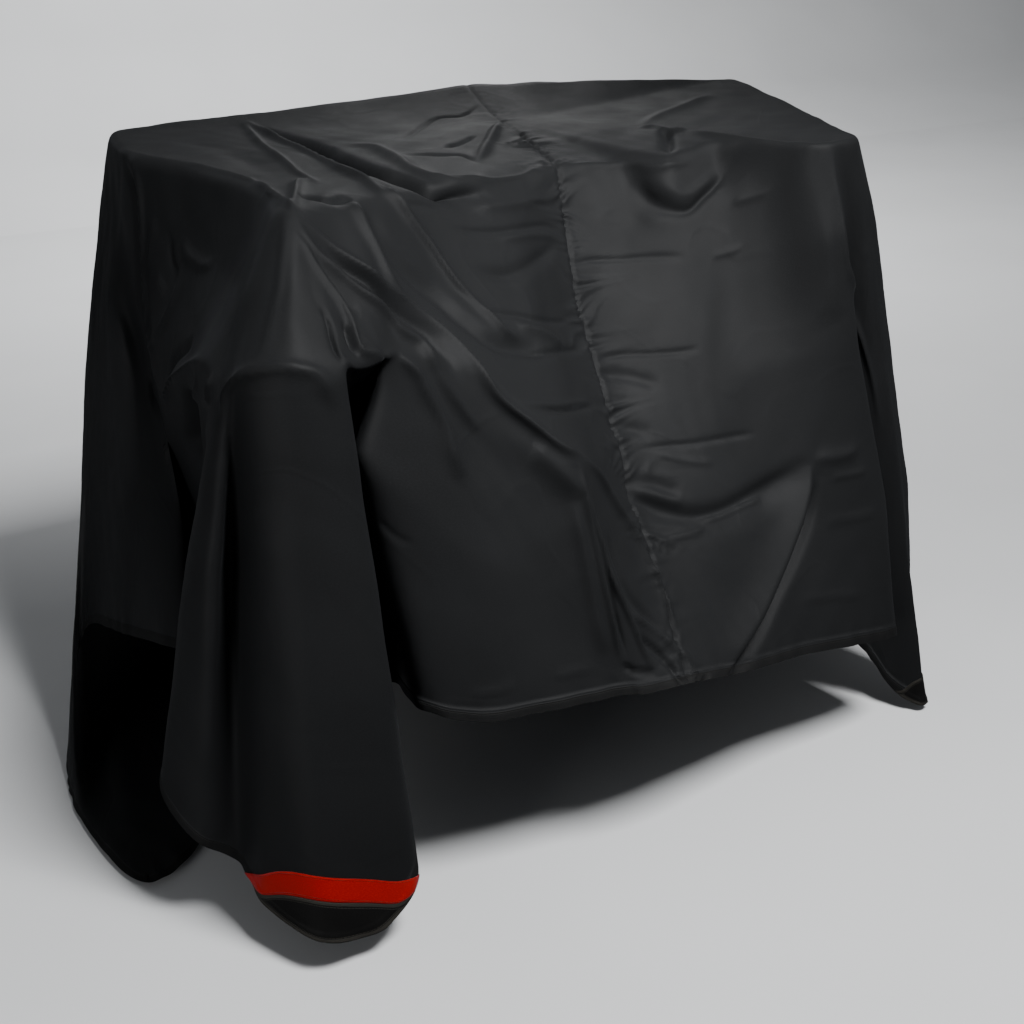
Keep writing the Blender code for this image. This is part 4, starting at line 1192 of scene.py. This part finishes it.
    def normal(self, g: NodeGraph, flat: Socket, hem: Socket, line: Socket) -> Socket:
        """The weave, cockles, marks and the hem's step, each laid over the one before.

        The marks are lines where a wide noise crosses its middle value, and the row of stitches
        is drawn into the hem.

        Args:
            g: the material's nodes.
            flat: socket of the flat place.
            hem: socket that is one on the hem.
            line: socket that is one along the row of stitches.

        Returns:
            The socket of the normal.
        """
        normal = g.bump(self.weave_height(g, flat), *self.weave_bump)
        normal = g.bump(g.noise(flat, *self.cockle_noise), *self.cockle_bump, normal)
        crossed = g.math("SUBTRACT", g.noise(flat, *self.mark_noise), .5)
        marks = g.ramp(g.math("ABSOLUTE", crossed), *self.mark_fade)
        normal = g.bump(marks, *self.mark_bump, normal)
        step = g.math("SUBTRACT", hem, g.math("MULTIPLY", line, self.stitch_depth))
        return g.bump(step, *self.hem_bump, normal)

    def weave_height(self, g: NodeGraph, flat: Socket) -> Socket:
        """Plain weave: the product of a warp wave and a weft wave.

        Args:
            g: the material's nodes.
            flat: socket of the flat place.

        Returns:
            The socket of the height.
        """
        split = g.node("ShaderNodeSeparateXYZ")
        g.link(flat, split.inputs[0])
        warp = g.math("SINE", g.math("MULTIPLY", split.outputs["X"], 2 * math.pi / self.weave))
        weft = g.math("SINE", g.math("MULTIPLY", split.outputs["Y"], 2 * math.pi / self.weave))
        return g.math("MULTIPLY", warp, weft)


class Finish(Enum):
    """The cloths that the cover is sewn from."""

    BLACK = ClothFinish("black_cloth", (.0165, .0171, .0180), (.0150, .0152, .0155),
                        (.0190, .0190, .0182))
    PATCH = ClothFinish("patch_cloth", (.010, .0098, .0096), (.050, .047, .041), (.05, .047, .04),
                        rough=.5, hem_width=.006, stitch_at=.008)
    RED = ClothFinish("red_cloth", (.47, .0065, .004), (.47, .0065, .004), (.32, .005, .003),
                      rough=.5, sheen=.4, hem_width=.0005, stitch_at=.004)


def grid_faces(rows: int, columns: int) -> np.ndarray:
    """Corner numbers of the faces of a grid, one face for each of its cells.

    The place in row i and column j has the number i columns + j, and each face's corners go round
    so that it faces outwards.

    Args:
        rows: how many rows of places there are.
        columns: how many places a row has.

    Returns:
        Faces by four.
    """
    numbers = np.arange(rows * columns).reshape(rows, columns)
    corners = [numbers[:-1, :-1], numbers[1:, :-1], numbers[1:, 1:], numbers[:-1, 1:]]
    return np.stack(corners, axis=-1).reshape(-1, 4).astype(np.int32)


def grid_mesh(name: str, places: np.ndarray, u: np.ndarray, v: np.ndarray, cloth: FlatCloth,
              edge: np.ndarray | None = None, run: np.ndarray | None = None) -> Piece:
    """Makes one open sheet of quads from a grid of places.

    The UV map "flat" is the flat cloth in metres.

    Args:
        name: name of the piece.
        places: grid of places, m by n by three.
        u: flat u of the grid.
        v: flat v of the grid.
        cloth: the flat cloth, for the distances that the finish reads.
        edge: distance to the piece's own edge, where that isn't the cloth's hem.
        run: distance along that edge.

    Returns:
        The new object, linked to the scene.
    """
    quads = grid_faces(*u.shape)
    mesh = bpy.data.meshes.new(name)
    mesh.vertices.add(u.size)
    mesh.vertices.foreach_set("co", places.reshape(-1).astype(np.float32))
    mesh.loops.add(quads.size)
    mesh.loops.foreach_set("vertex_index", quads.ravel())
    mesh.polygons.add(len(quads))
    mesh.polygons.foreach_set("loop_start", np.arange(0, quads.size, 4, dtype=np.int32))
    mesh.polygons.foreach_set("use_smooth", np.ones(len(quads), bool))
    mesh.update(calc_edges=True)
    layer = mesh.uv_layers.new(name="flat")
    corners = np.stack([u.ravel()[quads], v.ravel()[quads]], axis=-1)
    layer.data.foreach_set("uv", corners.reshape(-1).astype(np.float32))
    edge = cloth.hem_distance(u, v) if edge is None else edge
    run = cloth.hem_run(u, v) if run is None else run
    for title, values in (("edge", edge), ("run", run)):
        stored = mesh.attributes.new(title, "FLOAT", "POINT")
        stored.data.foreach_set("value", values.ravel().astype(np.float32))
    piece = bpy.data.objects.new(name, mesh)
    bpy.context.scene.collection.objects.link(piece)
    return piece


def steps(start: float, end: float, pitch: float) -> np.ndarray:
    """Even steps from start up to end, about a pitch apart, without the end."""
    return np.linspace(start, end, max(1, round((end - start) / pitch)), endpoint=False)


def graded(pitches: tuple[tuple[float, float], ...], stop: float) -> np.ndarray:
    """Grid lines of several stretches, each given as its start and the distance of its lines.

    Args:
        pitches: start and pitch of each stretch, in order.
        stop: where the last stretch ends, which is left out.

    Returns:
        The lines' places.
    """
    ends = [start for start, _ in pitches[1:]] + [stop]
    return np.concatenate([steps(start, end, pitch) for (start, pitch), end in zip(pitches, ends)])


@dataclass(frozen=True)
class Panel:
    """One of the cover's two panels, from the seam to its outer hem."""

    name: str
    side: int
    across_pitches: tuple[tuple[float, float], ...] = ((.060, .0045), (.72, .0080), (1.02, .0130))
    along_pitches: tuple[tuple[float, float], ...] = ((-1.18, .0075), (-.92, .0045), (-.18, .0075),
                                                      (.42, .0200))
    seam_pitch: float = 0.0036
    seam_space: float = 0.00005
    seam_band: float = 0.060
    hem_lines: tuple[float, ...] = (0.020, 0.0185, 0.0170, 0.012, 0.006, 0.0)

    def flat_lines(self, cloth: FlatCloth) -> Arrays:
        """Grid lines across and along, closer together at the seam and at the hem's step.

        Args:
            cloth: the flat cloth.

        Returns:
            The flat u of the lines across, and the flat v of the lines along.
        """
        hem = np.array(self.hem_lines)
        across = np.concatenate([steps(self.seam_space, self.seam_band, self.seam_pitch),
                                 graded(self.across_pitches, cloth.half - hem[0]), cloth.half - hem])
        along = np.concatenate([-cloth.front + hem[::-1],
                                graded(self.along_pitches, cloth.back - hem[0]), cloth.back - hem])
        return np.sort(self.side * across), along

    def build(self, cloth: Cloth, finish: Finish) -> Piece:
        """Makes the panel's mesh and dresses it.

        Args:
            cloth: the hung cloth.
            finish: the cloth it is made from.

        Returns:
            The finished piece.
        """
        across, along = self.flat_lines(cloth.flat)
        u, v = np.meshgrid(across, along, indexing="ij")
        u, v = cloth.flat.rounded(u, v)
        piece = grid_mesh(self.name + "_cloth", cloth.places(u, v), u, v, cloth.flat)
        piece.data.materials.append(finish.value.material())
        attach(piece, "root")
        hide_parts(self.name)
        return piece


@dataclass(frozen=True)
class CornerTrim:
    """Band and patch across a near corner, sewn on the panel's face.

    The band lies between two lines of the flat cloth on which the distances from the two hems
    add up to band_top and band_bottom, less a sag between their ends; the patch fills the corner
    beyond.
    """

    side: int
    band_top: float = 0.240
    band_bottom: float = 0.178
    lift: float = 0.0012
    thick: float = 0.0008
    pitch: float = 0.004
    top_sag: float = 0.014
    bottom_sag: float = 0.010
    sag_lean: float = 0.5
    tip: float = 0.030
    band_ends: float = 0.002
    tuck: float = 0.001
    band_rows: int = 14
    patch_rows: int = 30

    @property
    def count(self) -> int:
        """How many places the band and the patch have along their lines."""
        return round(self.band_top * math.sqrt(2) / self.pitch)

    def line(self, cloth: FlatCloth, share: np.ndarray, total: np.ndarray) -> Arrays:
        """Places on the line whose distances from the side hem and front hem add up to total."""
        return self.side * (cloth.half - total * share), total * (1 - share) - cloth.front

    def sag(self, share: np.ndarray, depth: float) -> np.ndarray:
        """How far a line sags below the straight one: most near the side hem, nothing at its ends."""
        return depth * (1 - (2 * share - 1) ** 4) * (1 + self.sag_lean * (1 - 2 * share))

    def upper(self, share: np.ndarray) -> np.ndarray:
        """Sum of the two distances along the band's upper edge."""
        return self.band_top - self.sag(share, self.top_sag)

    def lower(self, share: np.ndarray) -> np.ndarray:
        """Sum of the two distances along the band's lower edge, which turns up at its tips."""
        return self.band_bottom - self.sag(share, self.bottom_sag) + self.tip * (2 * share - 1) ** 12

    def outline(self, cloth: FlatCloth, share: np.ndarray) -> Arrays:
        """Places on the hem around the corner.

        Args:
            cloth: the flat cloth.
            share: share of the way from the side hem to the front hem.

        Returns:
            The flat u and v.
        """
        r = cloth.corner_round
        straight = self.band_bottom - r
        total = 2 * straight + math.pi / 2 * r
        run = share * total
        turn = np.clip((run - straight) / r, 0, math.pi / 2)
        from_side = r * (1 - np.cos(turn)) + np.maximum(run - straight - math.pi / 2 * r, 0)
        from_front = r * (1 - np.sin(turn)) + np.maximum(straight - run, 0)
        return self.side * (cloth.half - from_side), from_front - cloth.front

    def sheet(self, name: str, cloth: Cloth, first: Arrays, second: Arrays, rows: int) -> Piece:
        """Makes the sheet between two lines by drawing straight from one to the other.

        Args:
            name: name of the piece.
            cloth: the hung cloth.
            first: flat u and v of the upper line.
            second: flat u and v of the lower line.
            rows: how many rows of places it has.

        Returns:
            The piece, with its thickness.
        """
        x = np.linspace(0, 1, rows)[None, :]
        u = first[0][:, None] * (1 - x) + second[0][:, None] * x
        v = first[1][:, None] * (1 - x) + second[1][:, None] * x
        wide = np.hypot(second[0] - first[0], second[1] - first[1])[:, None]
        if self.side > 0:
            u, v, wide = u[::-1], v[::-1], wide[::-1]
        edge = np.minimum(x, 1 - x) * wide
        run = np.hypot(u - u[:1], v - v[:1])
        piece = grid_mesh(name, cloth.places(u, v, self.lift), u, v, cloth.flat, edge, run)
        body = piece.modifiers.new("thickness", "SOLIDIFY")
        body.thickness = self.thick
        body.offset = -1.0
        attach(piece, "root")
        return piece

    def band(self, cloth: Cloth, finish: Finish) -> Piece:
        """Makes the red band.

        Args:
            cloth: the hung cloth.
            finish: the cloth it is made from.

        Returns:
            The finished piece.
        """
        share = np.linspace(self.band_ends, 1 - self.band_ends, self.count)
        piece = self.sheet("red_band_cloth", cloth, self.line(cloth.flat, share, self.upper(share)),
                           self.line(cloth.flat, share, self.lower(share)), self.band_rows)
        piece.data.materials.append(finish.value.material())
        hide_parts("red_band")
        return piece

    def patch(self, name: str, node: str, cloth: Cloth, finish: Finish) -> Piece:
        """Makes the patch that fills the corner up to the band's lower edge.

        Args:
            name: name of the piece.
            node: the solid that it stands for.
            cloth: the hung cloth.
            finish: the cloth it is made from.

        Returns:
            The finished piece.
        """
        share = np.linspace(0, 1, self.count)
        piece = self.sheet(name, cloth, self.line(cloth.flat, share, self.lower(share) - self.tuck),
                           self.outline(cloth.flat, share), self.patch_rows)
        piece.data.materials.append(finish.value.material())
        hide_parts(node)
        return piece


@dataclass(frozen=True)
class DrumCover:
    """The whole cover: its cloth, two panels and the trims of its near corners."""

    flat: FlatCloth = FlatCloth()

    def build(self) -> list[Piece]:
        """Makes every piece.

        Returns:
            The pieces, in the order in which they were made.
        """
        cloth = Cloth(self.flat, Drape(self.flat, FOLDS), Relief(self.flat, CREASES))
        left = Panel("panel_left", -1).build(cloth, Finish.BLACK)
        right = Panel("panel_right", 1).build(cloth, Finish.BLACK)
        near_left, near_right = CornerTrim(-1), CornerTrim(1)
        band = near_left.band(cloth, Finish.RED)
        patch_left = near_left.patch("corner_patch_left_cloth", "corner_patch_left", cloth, Finish.PATCH)
        patch_right = near_right.patch("corner_patch_right_cloth", "corner_patch_right", cloth,
                                       Finish.PATCH)
        return [left, right, band, patch_left, patch_right]


class Lit(Enum):
    """What a light falls on."""

    COVER = "cover"
    PAPER = "paper"
    ALL = "all"


@dataclass(frozen=True)
class SoftLight:
    """A square soft light: its side in metres, its power in watts, its beam's width in degrees."""

    name: str
    place: Point
    target: Point
    size: float
    power: float
    lit: Lit = Lit.ALL
    spread: float = 180.0
    in_gloss: bool = True

    def build(self, receivers: dict[Lit, list[Piece]]) -> None:
        """Makes the light, turned to its target.

        Args:
            receivers: the pieces of each choice but ALL, which needs no list.
        """
        data = bpy.data.lights.new(self.name, "AREA")
        data.size = self.size
        data.energy = self.power
        data.spread = math.radians(self.spread)
        lamp = bpy.data.objects.new(self.name, data)
        lamp.location = self.place
        lamp.rotation_euler = (Vector(self.target) - Vector(self.place)).to_track_quat("-Z", "Y").to_euler()
        lamp.visible_glossy = self.in_gloss
        bpy.context.scene.collection.objects.link(lamp)
        if self.lit in receivers:
            lamp.light_linking.receiver_collection = bpy.data.collections.new(self.name + "_lights")
            for piece in receivers[self.lit]:
                lamp.light_linking.receiver_collection.objects.link(piece)


@dataclass(frozen=True)
class Studio:
    """Pale floor and backdrop, soft lights, and the camera at its height over the floor.

    The key light is in two parts at one place: a soft beam that only lights the cover, and falls
    off to its ends, and a plain one that only lights the paper. The far light grazes the crown
    without showing in its gloss, and the small top light gives it its sheen. A section is y of
    its points, and their height over the floor.
    """

    camera_place: Point = (-1.606, -2.745, 1.80)
    heading: float = 30.0
    dip: float = 23.5
    lens: float = 54.84
    sensor: float = 36.0
    floor_color: Color = (.74, .75, .76)
    world_color: Color = (.92, .95, 1.0)
    world_strength: float = 0.09
    paper_half: float = 12.0
    paper_drop: float = 0.0005
    paper_rough: float = 0.9
    paper_shade: float = 0.96
    paper_noise: tuple[float, float] = (.6, 3.0)
    paper_fade: tuple[float, float] = (.3, .8)
    floor_section: Section = ((-9.0, 5.0), (0.0, 0.0))
    backdrop_section: Section = ((5.0, 6.2, 6.9, 7.2, 7.2), (0.0, .18, .7, 1.6, 7.0))
    lights: tuple[SoftLight, ...] = (
        SoftLight("floor_light", (.2, -2.5, 3.1), (0.0, -.3, -.2), 1.1, 320, Lit.PAPER),
        SoftLight("cover_light", (.2, -2.5, 3.1), (-.12, -.35, -.35), 1.1, 17.5, Lit.COVER, spread=42),
        SoftLight("left_fill", (-3.4, -1.9, -.65), (-.8, -.2, -.55), 1.2, 21),
        SoftLight("far_light", (.6, 4.4, 1.9), (.1, .4, -.5), 1.6, 70, Lit.COVER, in_gloss=False),
        SoftLight("top_light", (2.3, 4.2, 1.5), (.1, .2, 0.0), 1.2, 12, Lit.COVER),
        SoftLight("back_light", (1.5, 3.2, 2.4), (2.9, 6.4, -.6), 3.0, 260, Lit.PAPER),
    )

    def build(self, cover: list[Piece]) -> None:
        """Makes the floor, backdrop, lights, world and camera.

        Args:
            cover: the cover's pieces, which some of the lights fall on alone.
        """
        floor = self.paper("studio_floor", self.floor_section, False)
        backdrop = self.paper("studio_backdrop", self.backdrop_section, True)
        for light in self.lights:
            light.build({Lit.COVER: cover, Lit.PAPER: [floor, backdrop]})
        world = bpy.data.worlds.new("studio")
        world.use_nodes = True
        shader = world.node_tree.nodes["Background"]
        shader.inputs["Color"].default_value = (*self.world_color, 1.0)
        shader.inputs["Strength"].default_value = self.world_strength
        bpy.context.scene.world = world
        self.camera()

    def paper(self, name: str, section: Section, lights_cover: bool) -> Piece:
        """A sheet of pale paper as wide as the studio: its section is carried straight across.

        Args:
            name: the piece's name.
            section: the sheet's section.
            lights_cover: whether its reflected light falls on the cover.

        Returns:
            The sheet.
        """
        x = np.array([-self.paper_half, self.paper_half])
        y, z = np.array(section[0]), np.array(section[1]) - REST_HEIGHT - self.paper_drop
        rows = [np.repeat(x[:, None], len(y), 1), np.repeat(y[None], 2, 0), np.repeat(z[None], 2, 0)]
        places = np.stack(rows, -1)
        piece = grid_mesh(name, places, places[..., 0], places[..., 1], FlatCloth())
        g = NodeGraph(name)
        spot = g.node("ShaderNodeTexCoord").outputs["Object"]
        cloudy = g.ramp(g.noise(spot, *self.paper_noise), *self.paper_fade)
        shade = g.blend(cloudy, self.floor_color, tuple(self.paper_shade * c for c in self.floor_color))
        g.link(shade, g.shader.inputs["Base Color"])
        g.shader.inputs["Roughness"].default_value = self.paper_rough
        piece.data.materials.append(g.material)
        piece.visible_diffuse = lights_cover
        piece.visible_glossy = False
        return piece

    def camera(self) -> None:
        """The camera, turned by its heading and dip."""
        data = bpy.data.cameras.new("camera")
        data.lens = self.lens
        data.sensor_width = self.sensor
        camera = bpy.data.objects.new("camera", data)
        x, y, height = self.camera_place
        camera.location = (x, y, height - REST_HEIGHT)
        camera.rotation_euler = (math.radians(90 - self.dip), 0, -math.radians(self.heading))
        bpy.context.scene.collection.objects.link(camera)
        bpy.context.scene.camera = camera


def main() -> None:
    """Builds the cover and its studio, and reports each piece."""
    logging.basicConfig(level=logging.INFO, format="%(message)s")
    cover = DrumCover().build()
    for piece in cover:
        LOG.info("%s: %d faces", piece.name, len(piece.data.polygons))
    Studio().build(cover)


if __name__ == "__main__":
    main()
